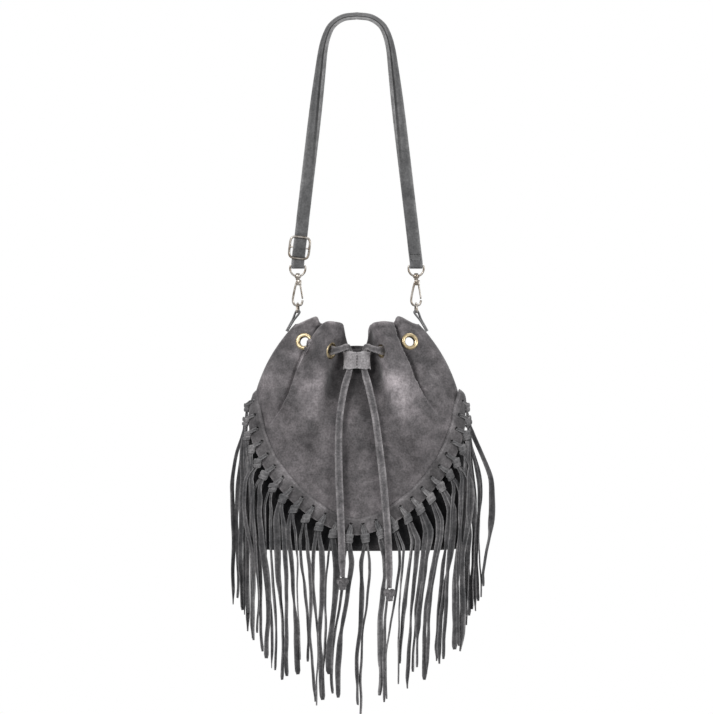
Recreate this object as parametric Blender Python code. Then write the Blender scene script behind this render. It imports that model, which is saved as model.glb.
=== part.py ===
"""Fringed suede pouch bag hung from its adjustable shoulder strap.

Metres, +Z up, -Y is the front. The origin is under the crown of the strap, where a shoulder or a peg holds it.
"""

import math

import bmesh
import bpy
from mathutils import Matrix, Vector

for old in list(bpy.data.objects):
    bpy.data.objects.remove(old)

# Clearances
GAP = 0.0003
PIN_PLAY = 0.0002

# Strap
STRAP_WIDTH = 0.0142
STRAP_THICK = 0.0016
STRAP_DROP = 0.274
STRAP_HALF_SPREAD = 0.065
STRAP_SLANT = 0.118
STRAIGHT_FOLD = 0.004
CROWN_HALF_WIDTH = 0.037
CROWN_TILT = math.radians(52)
SEWN_END = 0.020

# Slider buckle on the left run
SLIDER_WIDTH = 0.0238
SLIDER_HEIGHT = 0.0256
SLIDER_WIRE = 0.0010
SLIDER_ABOVE_LOOP = 0.0200
FOLD_ABOVE_SLIDER = 0.050
FOLD_ABOVE_LOOP = 0.026

# Swivel snap hooks
LOOP_WIRE = 0.0011
LOOP_WIDTH = 0.0190
LOOP_HEIGHT = 0.0125
BOSS_RADIUS = 0.0034
BOSS_HEIGHT = 0.0040
POST_RADIUS = 0.0017
HOOK_WIRE = 0.0012
HOOK_HALF_WIDTH = 0.0054
HOOK_LENGTH = 0.0320
GATE_THICK = 0.0020
GATE_PIN_RADIUS = 0.0006

# Bag rings and their leather tabs
RING_WIDTH = 0.0150
RING_HEIGHT = 0.0120
RING_WIRE = 0.0011
TAB_WIDTH = 0.0090
TAB_THICK = 0.0012
TAB_LENGTH = 0.0220

# Suede pouch
SUEDE = 0.0020
RIM_Z = -0.338
BASE_Z = -0.584
BASE_HALF_WIDTH = 0.122
BASE_HALF_DEPTH = 0.052
RIM_HALF_WIDTH = 0.068
RIM_HALF_DEPTH = 0.022
WIDTH_POWER = 4.1
DEPTH_POWER = 1.6
CORNER_POWER = 0.75
BASE_ROUNDING = 0.009

# Gathers, in shares of the half width and in metres of depth
GATHER_END_Z = -0.452
VALLEY_DEPTH = 0.017
VALLEY_HALF_WIDTH = 0.17
VALLEY_SPREAD = 0.11
VALLEY_LOW_Z = -0.372
RUFFLE_HEIGHT = 0.028
HUMP_PLACE = 0.385
HUMP_RISE = 0.010
HUMP_HALF_WIDTH = 0.13
CREASE_PLACE = 0.535
CREASE_DEPTH = 0.008
CREASE_HALF_WIDTH = 0.07
WING_PLACE = 0.76
WING_RISE = 0.0085
NOTCH_DEPTH = 0.027
PLAIN_Z = -0.404
PLAIN_ROWS = 3
GATHERED_ROWS = 7

# Laced hem of the front panel
HEM_SIDE_Z = -0.421
HEM_DROP = 0.143
HEM_POWER = 1.6
HEM_ROOT = 1.8
BACK_HEM_Z = -0.568
SIDE_SEAM_TURN = math.radians(8)
HEM_LAP = 0.012
BAND_WIDTH = 0.018
BAND_THICK = 0.0016
BAND_BELOW_HEM = 0.002
BAND_LIFT = 0.0015

# Fringe
STRANDS = 26
STRAND_WIDTH = 0.0052
STRAND_THICK = 0.0014
STRAND_SPLIT = 0.0008
FRINGE_LOW_Z = -0.7600
FRINGE_SIDE_RISE = 0.1120
FRINGE_HALF_SPREAD = 0.1340
FRINGE_POWER = 1.6
KNOT_THICK = 0.0030
KNOT_WIDTH = 0.0095
KNOT_HEIGHT = 0.0100
STACK_STEP = 0.0022
STEM_LIFT = 0.0007

# Eyelets
EYELET_HOLE = 0.0052
EYELET_RIM = 0.0093
EYELET_TUBE = 0.0060
EYELET_FLANGE = 0.0010
EYELET_LIFT = 0.0003
SEAT_FRONT = 0.0040
SEAT_BACK = 0.0042
INNER_EYELET = (0.31, -0.367)
OUTER_EYELET = (0.685, -0.357)
FLAT_RADIUS = 0.0110
FLAT_FADE = 0.0060
FLAT_REACH = 0.0040

# Drawstring and its keeper
CORD_RADIUS = 0.0030
KEEPER_WIDTH = 0.031
KEEPER_HEIGHT = 0.019
KEEPER_THICK = 0.0090
KEEPER_Z = -0.3775
KEEPER_Y = -0.0235
CHANNEL_SPREAD = 0.0078
TAIL_KNOT_RADIUS = 0.0062


def smooth(share):
    share = min(max(share, 0.0), 1.0)
    return share * share * (3 - 2 * share)


def bump(distance, half_width):
    return math.exp(-((distance / half_width) ** 2))


def spline_points(knots, steps):
    """Points on a Catmull-Rom curve through the knots."""
    knots = [Vector(k) for k in knots]
    ends = [2 * knots[0] - knots[1]] + knots + [2 * knots[-1] - knots[-2]]
    points = []
    for a, b, c, d in zip(ends, ends[1:], ends[2:], ends[3:]):
        for i in range(steps):
            t = i / steps
            points.append(
                0.5 * (2 * b + (c - a) * t + (2 * a - 5 * b + 4 * c - d) * t * t
                       + (3 * b - a - 3 * c + d) * t ** 3)
            )
    points.append(knots[-1].copy())
    return points


def material(name, color, roughness, metallic=0.0):
    made = bpy.data.materials.new(name)
    made.use_nodes = True
    shader = made.node_tree.nodes["Principled BSDF"]
    shader.inputs["Base Color"].default_value = (*color, 1.0)
    shader.inputs["Roughness"].default_value = roughness
    shader.inputs["Metallic"].default_value = metallic
    return made


SUEDE_GREY = material("suede_grey", (0.135, 0.125, 0.128), 0.95)
SUEDE_DARK = material("suede_dark", (0.020, 0.019, 0.020), 0.95)
LEATHER_GREY = material("leather_grey", (0.095, 0.095, 0.095), 0.80)
NICKEL = material("aged_nickel", (0.55, 0.53, 0.50), 0.30, 1.0)
BRASS = material("aged_brass", (0.52, 0.42, 0.25), 0.35, 1.0)


def new_object(name, bm, surface, auto_smooth=math.radians(40)):
    bmesh.ops.recalc_face_normals(bm, faces=bm.faces)
    mesh = bpy.data.meshes.new(name)
    bm.to_mesh(mesh)
    bm.free()
    mesh.materials.append(surface)
    mesh.shade_smooth()
    mesh.set_sharp_from_angle(angle=auto_smooth)
    made = bpy.data.objects.new(name, mesh)
    bpy.context.scene.collection.objects.link(made)
    return made


def loft(rings, closed=False):
    """A closed body through rings of points with equal counts. An open row of rings gets two end caps."""
    bm = bmesh.new()
    rows = [[bm.verts.new(p) for p in ring] for ring in rings]
    pairs = list(zip(rows, rows[1:])) + ([(rows[-1], rows[0])] if closed else [])
    for a, b in pairs:
        for i in range(len(a)):
            j = (i + 1) % len(a)
            bm.faces.new((a[i], a[j], b[j], b[i]))
    if not closed:
        bm.faces.new(rows[0])
        bm.faces.new(rows[-1])
    return bm


def wire(points, radii, binormal, sides=10, closed=False):
    """A round wire along a flat path whose plane has the given normal."""
    points = [Vector(p) for p in points]
    binormal = Vector(binormal).normalized()
    count = len(points)
    rings = []
    for i, p in enumerate(points):
        before = points[i - 1] if closed or i else p
        after = points[(i + 1) % count] if closed or i + 1 < count else p
        normal = binormal.cross((after - before).normalized()).normalized()
        r = radii[i] if isinstance(radii, (list, tuple)) else radii
        turns = [2 * math.pi * k / sides for k in range(sides)]
        rings.append([p + r * (math.cos(t) * normal + math.sin(t) * binormal) for t in turns])
    return loft(rings, closed)


def lathe(profile, place, segments=16):
    """A ring turned from a closed profile of (radius, height) about the place's own Z axis."""
    rings = []
    for k in range(segments):
        turn = 2 * math.pi * k / segments
        rings.append([
            place @ Vector((r * math.cos(turn), r * math.sin(turn), h)) for r, h in profile
        ])
    return loft(rings, closed=True)


def rod(start, end, radius, segments=16):
    axis = (Vector(end) - Vector(start)).normalized()
    across = axis.orthogonal().normalized()
    other = axis.cross(across)
    turns = [2 * math.pi * k / segments for k in range(segments)]
    rings = [
        [Vector(p) + radius * (math.cos(t) * across + math.sin(t) * other) for t in turns]
        for p in (start, end)
    ]
    return loft(rings)


def block(low, high):
    bm = bmesh.new()
    middle = (Vector(low) + Vector(high)) / 2
    size = Vector(high) - Vector(low)
    bmesh.ops.create_cube(bm, size=1, matrix=Matrix.Translation(middle) @ Matrix.Diagonal((*size, 1)))
    return bm


def boolean(target, bm, operation, name, own_folds=False):
    """Joins a helper to the target or cuts it away, and hides the helper."""
    helper = new_object(name, bm, target.data.materials[0])
    helper.hide_render = True
    helper.display_type = "WIRE"
    modifier = target.modifiers.new(name, "BOOLEAN")
    modifier.object = helper
    modifier.operation = operation
    modifier.use_self = own_folds


# Pouch surface


def half_width(z):
    share = max((z - BACK_HEM_Z) / (RIM_Z - BACK_HEM_Z), 0.0)
    return BASE_HALF_WIDTH - (BASE_HALF_WIDTH - RIM_HALF_WIDTH) * share ** WIDTH_POWER


def half_depth(z):
    share = max((z - BACK_HEM_Z) / (RIM_Z - BACK_HEM_Z), 0.0)
    return BASE_HALF_DEPTH - (BASE_HALF_DEPTH - RIM_HALF_DEPTH) * share ** DEPTH_POWER


def gather(u, z):
    """How far the wall stands out from the plain oval at a share u of the half width."""
    drawn = smooth((z - GATHER_END_Z) / (RIM_Z - GATHER_END_Z))
    below_ruffle = smooth((RIM_Z - z) / RUFFLE_HEIGHT)
    pulled = smooth((z - GATHER_END_Z) / (VALLEY_LOW_Z - GATHER_END_Z))
    valley = VALLEY_DEPTH * math.exp(-((u / (VALLEY_HALF_WIDTH + VALLEY_SPREAD * below_ruffle)) ** 4))
    hump = HUMP_RISE * bump(abs(u) - HUMP_PLACE, HUMP_HALF_WIDTH)
    crease = CREASE_DEPTH * bump(abs(u) - CREASE_PLACE - 0.10 * (1 - drawn), CREASE_HALF_WIDTH)
    return drawn * (hump - crease) - pulled * valley


def wall_point(turn, z, inset=0.0):
    """A point of the pouch wall. Turn 0 is the front middle, a quarter turn is the side seam."""
    u = math.sin(turn)
    c = math.cos(turn)
    front = 1 if c >= 0 else -1
    x = (half_width(z) - inset) * u
    y = (half_depth(z) - inset) * abs(c) ** CORNER_POWER + gather(u, z) * min(abs(c) * 3, 1)
    return Vector((x, -front * y, z))


def wall_frame(turn, z):
    """The wall's point, its outward normal, and its steps along the turn and along the height."""
    small = 1e-4
    p = wall_point(turn, z)
    along = (wall_point(turn + small, z) - wall_point(turn - small, z)) / (2 * small)
    up = (wall_point(turn, z + small) - wall_point(turn, z - small)) / (2 * small)
    return p, along.cross(up).normalized(), along, up


def rim_height(turn):
    u = abs(math.sin(turn))
    notch = NOTCH_DEPTH * math.exp(-((u / VALLEY_HALF_WIDTH) ** 4))
    return RIM_Z + WING_RISE * bump(u - WING_PLACE, 0.12) + 0.002 * bump(u - 0.35, 0.10) - notch


def hem_height(turn):
    """The lower edge of the gathered panel: a laced curve in front, straight behind."""
    turn = (turn + math.pi) % (2 * math.pi) - math.pi
    if abs(turn) >= math.pi / 2:
        past = (abs(turn) - math.pi / 2) / SIDE_SEAM_TURN
        return HEM_SIDE_Z + (BACK_HEM_Z - HEM_SIDE_Z) * smooth(past)
    u = abs(math.sin(turn))
    return HEM_SIDE_Z - HEM_DROP * (1 - u ** HEM_POWER) ** (1 / HEM_ROOT)


def eyelet_places():
    places = {}
    for side, sign in (("left", -1), ("right", 1)):
        for kind, (u, z) in (("inner", INNER_EYELET), ("outer", OUTER_EYELET)):
            turn = sign * math.asin(u)
            for face, at in (("front", turn), ("back", math.pi - turn)):
                p, n, _, _ = wall_frame(at, z)
                places[f"{face}_{side}_{kind}_eyelet"] = (p, n)
    return places


EYELETS = eyelet_places()


def flattened(p):
    """The wall is pressed flat where an eyelet is set."""
    for centre, normal in EYELETS.values():
        away = p - centre
        height = away.dot(normal)
        reach = (away - height * normal).length
        held = 1 - smooth((reach - FLAT_RADIUS) / FLAT_FADE)
        held *= 1 - smooth((abs(height) - FLAT_REACH) / FLAT_REACH)
        p = p - height * held * normal
    return p


def panel_height(turn, row):
    """Rows run level through the gathers and spread down to the hem below them."""
    if row >= PLAIN_ROWS:
        return PLAIN_Z + (rim_height(turn) - PLAIN_Z) * (row - PLAIN_ROWS) / GATHERED_ROWS
    low = hem_height(turn)
    return low + (PLAIN_Z - low) * row / PLAIN_ROWS


def sheet(columns, rows, height_of):
    """A ring-shaped sheet of the wall, still without thickness."""
    bm = bmesh.new()
    grid = []
    for r in range(rows + 1):
        grid.append([bm.verts.new(flattened(wall_point(turn, height_of(turn, r)))) for turn in columns])
    for a, b in zip(grid, grid[1:]):
        for i in range(len(columns)):
            j = (i + 1) % len(columns)
            bm.faces.new((a[i], a[j], b[j], b[i]))
    return bm


def thicken(made, thickness):
    modifier = made.modifiers.new("thickness", "SOLIDIFY")
    modifier.thickness = thickness
    modifier.offset = -1


def gathered_columns(count):
    """Turns spread evenly along the width in the middle and closer at the sides."""
    half = count // 2
    turns = []
    for face in (0, 1):
        for i in range(half):
            t = -1 + 2 * i / half
            turns.append(math.pi * face + math.pi / 2 * (0.55 * t + 0.45 * t ** 3 if abs(t) < 1 else t))
    return turns


def build_panel():
    turns = gathered_columns(52)
    edge = SIDE_SEAM_TURN
    turns += [math.pi / 2 + edge * 0.55, math.pi / 2 + edge, -math.pi / 2 - edge * 0.55, -math.pi / 2 - edge]
    turns = sorted({round(t % (2 * math.pi), 6) for t in turns})
    bm = sheet(turns, PLAIN_ROWS + GATHERED_ROWS, panel_height)
    made = new_object("gathered_panel", bm, SUEDE_GREY)
    thicken(made, SUEDE)
    for name, (p, n) in EYELETS.items():
        place = Matrix.Translation(p) @ n.to_track_quat("Z", "X").to_matrix().to_4x4()
        hole, reach = EYELET_TUBE + GAP, EYELET_RIM + GAP
        profile = [(0.0, SEAT_FRONT), (reach, SEAT_FRONT), (reach, 0.0), (hole, 0.0)]
        profile += [(hole, -SUEDE), (reach, -SUEDE), (reach, -SEAT_BACK), (0.0, -SEAT_BACK)]
        boolean(made, turned_solid(profile, place), "DIFFERENCE", f"seat_{name}", True)
    return made


def turned_solid(profile, place, segments=13):
    """A solid of revolution whose profile starts and ends on its own Z axis."""
    bm = bmesh.new()
    rings = []
    for r, h in profile:
        turns = [2 * math.pi * k / segments for k in range(segments)] if r else [0.0]
        rings.append([bm.verts.new(place @ Vector((r * math.cos(t), r * math.sin(t), h))) for t in turns])
    for a, b in zip(rings, rings[1:]):
        for i in range(segments):
            j = (i + 1) % segments
            corners = [a[0]] if len(a) == 1 else [a[i], a[j]]
            corners += [b[0]] if len(b) == 1 else [b[j], b[i]]
            bm.faces.new(corners)
    return bm


def build_base():
    """The dark lower pouch that the gathered panel laps over."""
    turns = [2 * math.pi * k / 36 for k in range(36)]
    inset = SUEDE + 2 * GAP
    bm = bmesh.new()
    rows = []
    for drop, more in ((0.0, BASE_ROUNDING), (BASE_ROUNDING * 0.3, BASE_ROUNDING * 0.3), (BASE_ROUNDING, 0.0)):
        z = BASE_Z + drop
        rows.append([bm.verts.new(wall_point(t, z, inset + more)) for t in turns])
    for share in (0.35, 0.7, 1.0):
        line = []
        for t in turns:
            low = BASE_Z + BASE_ROUNDING
            z = low + (hem_height(t) + HEM_LAP - low) * share
            line.append(bm.verts.new(wall_point(t, z, inset)))
        rows.append(line)
    for a, b in zip(rows, rows[1:]):
        for i in range(len(turns)):
            j = (i + 1) % len(turns)
            bm.faces.new((a[i], a[j], b[j], b[i]))
    middle = bm.verts.new((0, 0, BASE_Z))
    for i in range(len(turns)):
        bm.faces.new((rows[0][i], middle, rows[0][(i + 1) % len(turns)]))
    made = new_object("lower_pouch", bm, SUEDE_DARK)
    thicken(made, SUEDE)
    return made


def hem_walk(turn, distance, out):
    """A point at a distance inwards from the laced edge, across the edge's own run, and out from the wall."""
    small = 1e-3
    z = hem_height(turn)
    ahead = min(turn + small, math.pi / 2)
    behind = max(turn - small, -math.pi / 2)
    run = (wall_point(ahead, hem_height(ahead)) - wall_point(behind, hem_height(behind))).normalized()
    at = turn
    steps = 6
    for _ in range(steps):
        p, n, along, up = wall_frame(at, z)
        across = n.cross(run).normalized()
        across = across if across.z > 0 or abs(across.z) < 0.3 and across.x * turn < 0 else -across
        move = across * (distance / steps)
        a, b, c = along.dot(along), along.dot(up), up.dot(up)
        d, e = along.dot(move), up.dot(move)
        det = a * c - b * b
        at += (d * c - e * b) / det
        z += (a * e - b * d) / det
    p, n, _, _ = wall_frame(at, z)
    return p + n * out, n


def even_turns(count, margin):
    """Turns of evenly spaced places along the laced edge."""
    fine = [-math.pi / 2 + math.pi * i / 600 for i in range(601)]
    reach = [0.0]
    for a, b in zip(fine, fine[1:]):
        step = (wall_point(b, hem_height(b)) - wall_point(a, hem_height(a))).length
        reach.append(reach[-1] + step)
    turns = []
    for k in range(count):
        wanted = margin + (reach[-1] - 2 * margin) * k / (count - 1)
        i = next(i for i, r in enumerate(reach) if r >= wanted - 1e-9)
        i = max(i, 1)
        share = (wanted - reach[i - 1]) / (reach[i] - reach[i - 1])
        turns.append(fine[i - 1] + (fine[i] - fine[i - 1]) * share)
    return turns


def build_band():
    rings = []
    for turn in even_turns(45, 0.001):
        ring = []
        for share, out in ((0, 0), (0.5, 0), (1, 0), (1, 1), (0.5, 1), (0, 1)):
            distance = -BAND_BELOW_HEM + BAND_WIDTH * share
            ring.append(hem_walk(turn, distance, BAND_LIFT + BAND_THICK * out)[0])
        rings.append(ring)
    return new_object("laced_band", loft(rings), SUEDE_GREY)


def strand_layers(turns):
    """Strands that hang over their lower neighbours step outwards, away from the front middle."""
    layers = [0] * len(turns)
    room = 2 * STRAND_WIDTH + STRAND_SPLIT + GAP
    middle = len(turns) // 2
    for order in (range(middle, len(turns)), range(middle - 1, -1, -1)):
        before = None
        for k in order:
            here = wall_point(turns[k], BACK_HEM_Z)
            if before is not None:
                close = (here - wall_point(turns[before], BACK_HEM_Z)).length < room
                layers[k] = layers[before] + (1 if close else 0)
            before = k
    return layers


def section(centre, across, out, width, thick, halves):
    """Six points round a flat section: left, middle and right in front, then the same behind."""
    half = across * (width / 2)
    face = out * thick
    offsets = (-half, across * 0, half) if halves else (-half, half)
    front = [centre + o + face for o in offsets]
    back = [centre + o for o in reversed(offsets)]
    return front + back


def build_strand(number, turn, layer):
    """One lace: a flat stem from its hole to a flattened knot, and two tails that hang from it."""
    rest = BAND_LIFT + BAND_THICK + GAP + STEM_LIFT
    bm = bmesh.new()
    stem = (
        (0.0085, KNOT_WIDTH * 0.55, STRAND_THICK),
        (0.0035, KNOT_WIDTH * 0.75, STRAND_THICK),
        (0.0015, KNOT_WIDTH, KNOT_THICK),
        (0.0015 - KNOT_HEIGHT * 0.6, KNOT_WIDTH, KNOT_THICK),
    )
    rows = []
    for distance, width, thick in stem:
        centre, normal = hem_walk(turn, distance, rest)
        across = (hem_walk(turn + 0.01, distance, rest)[0] - hem_walk(turn - 0.01, distance, rest)[0])
        flat = Vector((across.x, across.y, 0)).normalized()
        across = (flat * 0.8 + across.normalized() * 0.2).normalized()
        rows.append([bm.verts.new(p) for p in section(centre, across, normal, width, thick, True)])
    last, _ = hem_walk(turn, stem[-1][0], 0)
    top = last.z - KNOT_HEIGHT * 0.4
    out = rest + 0.0005
    if layer:
        out += KNOT_THICK + STACK_STEP * (layer - 1)
    spread = min(abs(last.x) / FRINGE_HALF_SPREAD, 1.0)
    bottom = FRINGE_LOW_Z + FRINGE_SIDE_RISE * spread ** FRINGE_POWER
    levels = [top - 0.001] + [top + (bottom - top) * share for share in (0.08, 0.25, 0.5, 0.75, 1.0)]
    tails = {-1: [], 1: []}
    for i, z in enumerate(levels):
        at = hem_turn_below(turn, last)
        p, n, along, _ = wall_frame(at, max(z, BACK_HEM_Z))
        n = Vector((n.x, n.y, 0)).normalized()
        across = Vector((along.x, along.y, 0)).normalized()
        p = Vector((p.x, p.y, z)) + n * out
        if i == 0:
            rows.append([bm.verts.new(q) for q in section(p, across, n, KNOT_WIDTH, KNOT_THICK * 0.7, True)])
            continue
        for side in tails:
            middle = p + across * side * (STRAND_WIDTH + STRAND_SPLIT) / 2
            ring = section(middle, across, n, STRAND_WIDTH, STRAND_THICK, False)
            tails[side].append([bm.verts.new(q) for q in ring])
    for a, b in zip(rows, rows[1:]):
        for i in range(6):
            j = (i + 1) % 6
            bm.faces.new((a[i], a[j], b[j], b[i]))
    bm.faces.new(rows[0])
    fork = rows[-1]
    starts = {-1: [fork[0], fork[1], fork[4], fork[5]], 1: [fork[1], fork[2], fork[3], fork[4]]}
    for side, start in starts.items():
        rings = [start] + tails[side]
        for a, b in zip(rings, rings[1:]):
            for i in range(4):
                j = (i + 1) % 4
                bm.faces.new((a[i], a[j], b[j], b[i]))
        bm.faces.new(rings[-1])
    return new_object(f"fringe_strand_{number:02d}", bm, SUEDE_GREY)


def hem_turn_below(turn, p):
    """The turn whose place on the oval lies under a point of the knot."""
    return math.copysign(math.asin(min(abs(p.x) / half_width(p.z), 0.9999)), turn)


def build_fringe():
    turns = even_turns(STRANDS, 0.007)
    layers = strand_layers(turns)
    for number, (turn, layer) in enumerate(zip(turns, layers), 1):
        build_strand(number, turn, layer)


def build_eyelets():
    face = EYELET_LIFT
    back = -SUEDE - EYELET_LIFT
    profile = [
        (EYELET_HOLE, face + EYELET_FLANGE * 0.6), (EYELET_TUBE, face + EYELET_FLANGE),
        (EYELET_RIM - 0.001, face + EYELET_FLANGE), (EYELET_RIM, face), (EYELET_TUBE, face),
        (EYELET_TUBE, back), (EYELET_RIM - 0.001, back), (EYELET_RIM - 0.001, back - EYELET_FLANGE * 0.7),
        (EYELET_HOLE, back - EYELET_FLANGE * 0.7),
    ]
    for name, (p, n) in EYELETS.items():
        place = Matrix.Translation(p) @ n.to_track_quat("Z", "X").to_matrix().to_4x4()
        new_object(name, lathe(profile, place, 14), BRASS)


# Strap and metal fittings


def ribbon(stations, width, thick):
    """A flat strip: each station gives its middle, its width direction and its thickness direction."""
    rings = []
    for centre, across, normal in stations:
        a = across.normalized() * width / 2
        n = normal.normalized() * thick / 2
        rings.append([centre - a - n, centre + a - n, centre + a + n, centre - a + n])
    return loft(rings)


def slanted(z):
    """How far from the middle each side of the strap is: it leans in above its loop."""
    return STRAP_HALF_SPREAD - STRAP_SLANT * max(z + STRAP_DROP - STRAIGHT_FOLD, 0.0)


def strap_side(sign):
    """Points down one side of the strap, from beside the crown to just above its fitting."""
    c, z = CROWN_HALF_WIDTH, -STRAP_DROP
    fold = FOLD_ABOVE_SLIDER if sign < 0 else FOLD_ABOVE_LOOP
    knots = [(0.0, 0.0), (0.40 * c, -0.0020), (0.70 * c, -0.0090), (0.87 * c, -0.0190), (c, -0.036)]
    knots += [(slanted(low), low) for low in (-0.065, 0.50 * z, 0.70 * z, z + fold + 0.012, z + fold)]
    lift = STRAP_THICK / 2
    return spline_points([(sign * px, 0, pz + lift) for px, pz in knots], 3)


def strap_stations():
    right = strap_side(1)
    left = strap_side(-1)
    line = list(reversed(right)) + left[1:]
    total = STRAP_DROP * 0.55
    stations = []
    for i, p in enumerate(line):
        run = (line[min(i + 1, len(line) - 1)] - line[max(i - 1, 0)]).normalized()
        tilt = CROWN_TILT * (1 - smooth(-p.z / total))
        side = Vector((run.z, 0, -run.x))
        side = side if side.x * 1 >= 0 or abs(run.x) > 0.999 else -side
        flat = Vector((0, 1, 0)).cross(run).normalized()
        across = (math.cos(tilt) * flat + math.sin(tilt) * Vector((0, 1, 0))).normalized()
        stations.append((p, across, across.cross(run)))
    return stations


def fold_path(sign, knots):
    """Stations of a stretch that folds over itself along the slanted line of one side."""
    points = spline_points([(sign * slanted(z), y, z) for y, z in knots], 2)
    stations = []
    for i, p in enumerate(points):
        run = (points[min(i + 1, len(points) - 1)] - points[max(i - 1, 0)]).normalized()
        lean = STRAP_SLANT * smooth((p.z + STRAP_DROP - STRAIGHT_FOLD / 2) / STRAIGHT_FOLD)
        across = Vector((1, 0, sign * lean)).normalized()
        stations.append((p, across, across.cross(run)))
    return stations


def arc_knots(centre_z, radius, start, end, count):
    turns = [start + (end - start) * i / (count - 1) for i in range(count)]
    return [(radius * math.cos(t), centre_z + radius * math.sin(t)) for t in turns]


def build_strap():
    bar = -STRAP_DROP
    wrap = LOOP_WIRE + GAP + STRAP_THICK / 2
    stations = strap_stations()
    first, last = stations[0][0], stations[-1][0]
    down = [(first.y, first.z), (-0.6 * wrap, first.z - 0.007), (-wrap, bar + 0.012), (-wrap, bar + 0.004)]
    up = [(wrap, bar + 0.004), (STRAP_THICK + GAP, bar + SEWN_END)]
    right = down + arc_knots(bar, wrap, math.pi, 2 * math.pi, 7) + up
    right_run = fold_path(1, right)
    z = bar + SLIDER_ABOVE_LOOP
    half = SLIDER_HEIGHT / 2 - SLIDER_WIRE
    lay = SLIDER_WIRE + GAP + STRAP_THICK / 2
    front = -(SLIDER_WIRE + 2 * GAP + 1.5 * STRAP_THICK)
    behind = lay + STRAP_THICK + 2 * GAP
    left = [
        (last.y, last.z), (lay + GAP, z + half + 0.004), (lay + GAP, z + half), (0.3 * front, z + 0.55 * half), (front, z + 0.1 * half),
        (front, z - 0.1 * half), (0.3 * front, z - 0.6 * half), (lay + 0.0002, z - half),
        (-0.3 * wrap, bar + 0.0055), (-wrap, bar + 0.0030),
    ]
    left += arc_knots(bar, wrap, math.pi, 2 * math.pi, 7)
    left += [(0.6 * behind + 0.4 * wrap, bar + 0.005), (behind, z - half), (behind, z - 0.6 * half)]
    left += [(lay, z), (0.0, z + lay), (-lay, z), (-0.35 * lay, z - 0.55 * half)]
    left_run = fold_path(-1, left)
    whole = list(reversed(right_run)) + stations[1:-1] + left_run
    fixed = []
    for centre, across, normal in whole:
        if fixed and across.dot(fixed[-1][1]) < 0:
            across = -across
        if fixed and normal.dot(fixed[-1][2]) < 0:
            normal = -normal
        fixed.append((centre, across, normal))
    return new_object("shoulder_strap", ribbon(fixed, STRAP_WIDTH, STRAP_THICK), LEATHER_GREY)


def rounded_loop(half_x, high, low, round_share, count):
    """A closed outline, wide at the top and round below, in the XZ plane."""
    points = []
    for k in range(count):
        t = 2 * math.pi * k / count
        x = math.copysign(abs(math.cos(t)) ** round_share, math.cos(t)) * half_x
        z = math.copysign(abs(math.sin(t)) ** round_share, math.sin(t))
        middle, half = (high + low) / 2, (high - low) / 2
        points.append((x, middle + z * half))
    return points


def build_slider():
    z = -STRAP_DROP + SLIDER_ABOVE_LOOP
    centre = Vector((-slanted(z), 0, z))
    across = Vector((1, 0, -STRAP_SLANT)).normalized()
    up = Vector((STRAP_SLANT, 0, 1))
    half_x = SLIDER_WIDTH / 2 - SLIDER_WIRE
    half_z = SLIDER_HEIGHT / 2 - SLIDER_WIRE
    outline = rounded_loop(half_x, half_z, -half_z, 0.45, 32)
    frame = wire([centre + across * px + up * pz for px, pz in outline], SLIDER_WIRE, (0, 1, 0), 8, True)
    made = new_object("strap_slider", frame, NICKEL)
    bar = rod(centre - across * half_x, centre + across * half_x, SLIDER_WIRE * 0.9, 8)
    boolean(made, bar, "UNION", "slider_bar")
    return made


def build_loop(side, sign):
    x = sign * STRAP_HALF_SPREAD
    bar = -STRAP_DROP
    half = LOOP_WIDTH / 2 - LOOP_WIRE
    low = bar - LOOP_HEIGHT + LOOP_WIRE
    path = [(-half + 0.001, bar), (half - 0.001, bar), (half, bar - 0.001), (half, bar - 0.003)]
    for k in range(1, 10):
        t = math.pi * k / 10
        path.append((half * math.cos(t), bar - 0.003 + (low - bar + 0.003) * math.sin(t)))
    path += [(-half, bar - 0.003), (-half, bar - 0.001)]
    ring = wire([(x + px, 0, pz) for px, pz in path], LOOP_WIRE, (0, 1, 0), 8, True)
    made = new_object(f"{side}_strap_loop", ring, NICKEL)
    top = low + BOSS_HEIGHT / 2
    boolean(made, rod((x, 0, top), (x, 0, top - BOSS_HEIGHT), BOSS_RADIUS), "UNION", f"{side}_boss")
    hole = rod((x, 0, top + 0.002), (x, 0, top - BOSS_HEIGHT - 0.002), POST_RADIUS + PIN_PLAY)
    boolean(made, hole, "DIFFERENCE", f"{side}_post_hole")
    return top


def hook_places(boss_top):
    neck = boss_top - BOSS_HEIGHT - GAP
    top = neck - 0.0022
    bend = neck - HOOK_LENGTH + 0.0022
    pivot = Vector((0.0026, 0, top - 0.0040))
    return neck, top, bend, pivot


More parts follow.
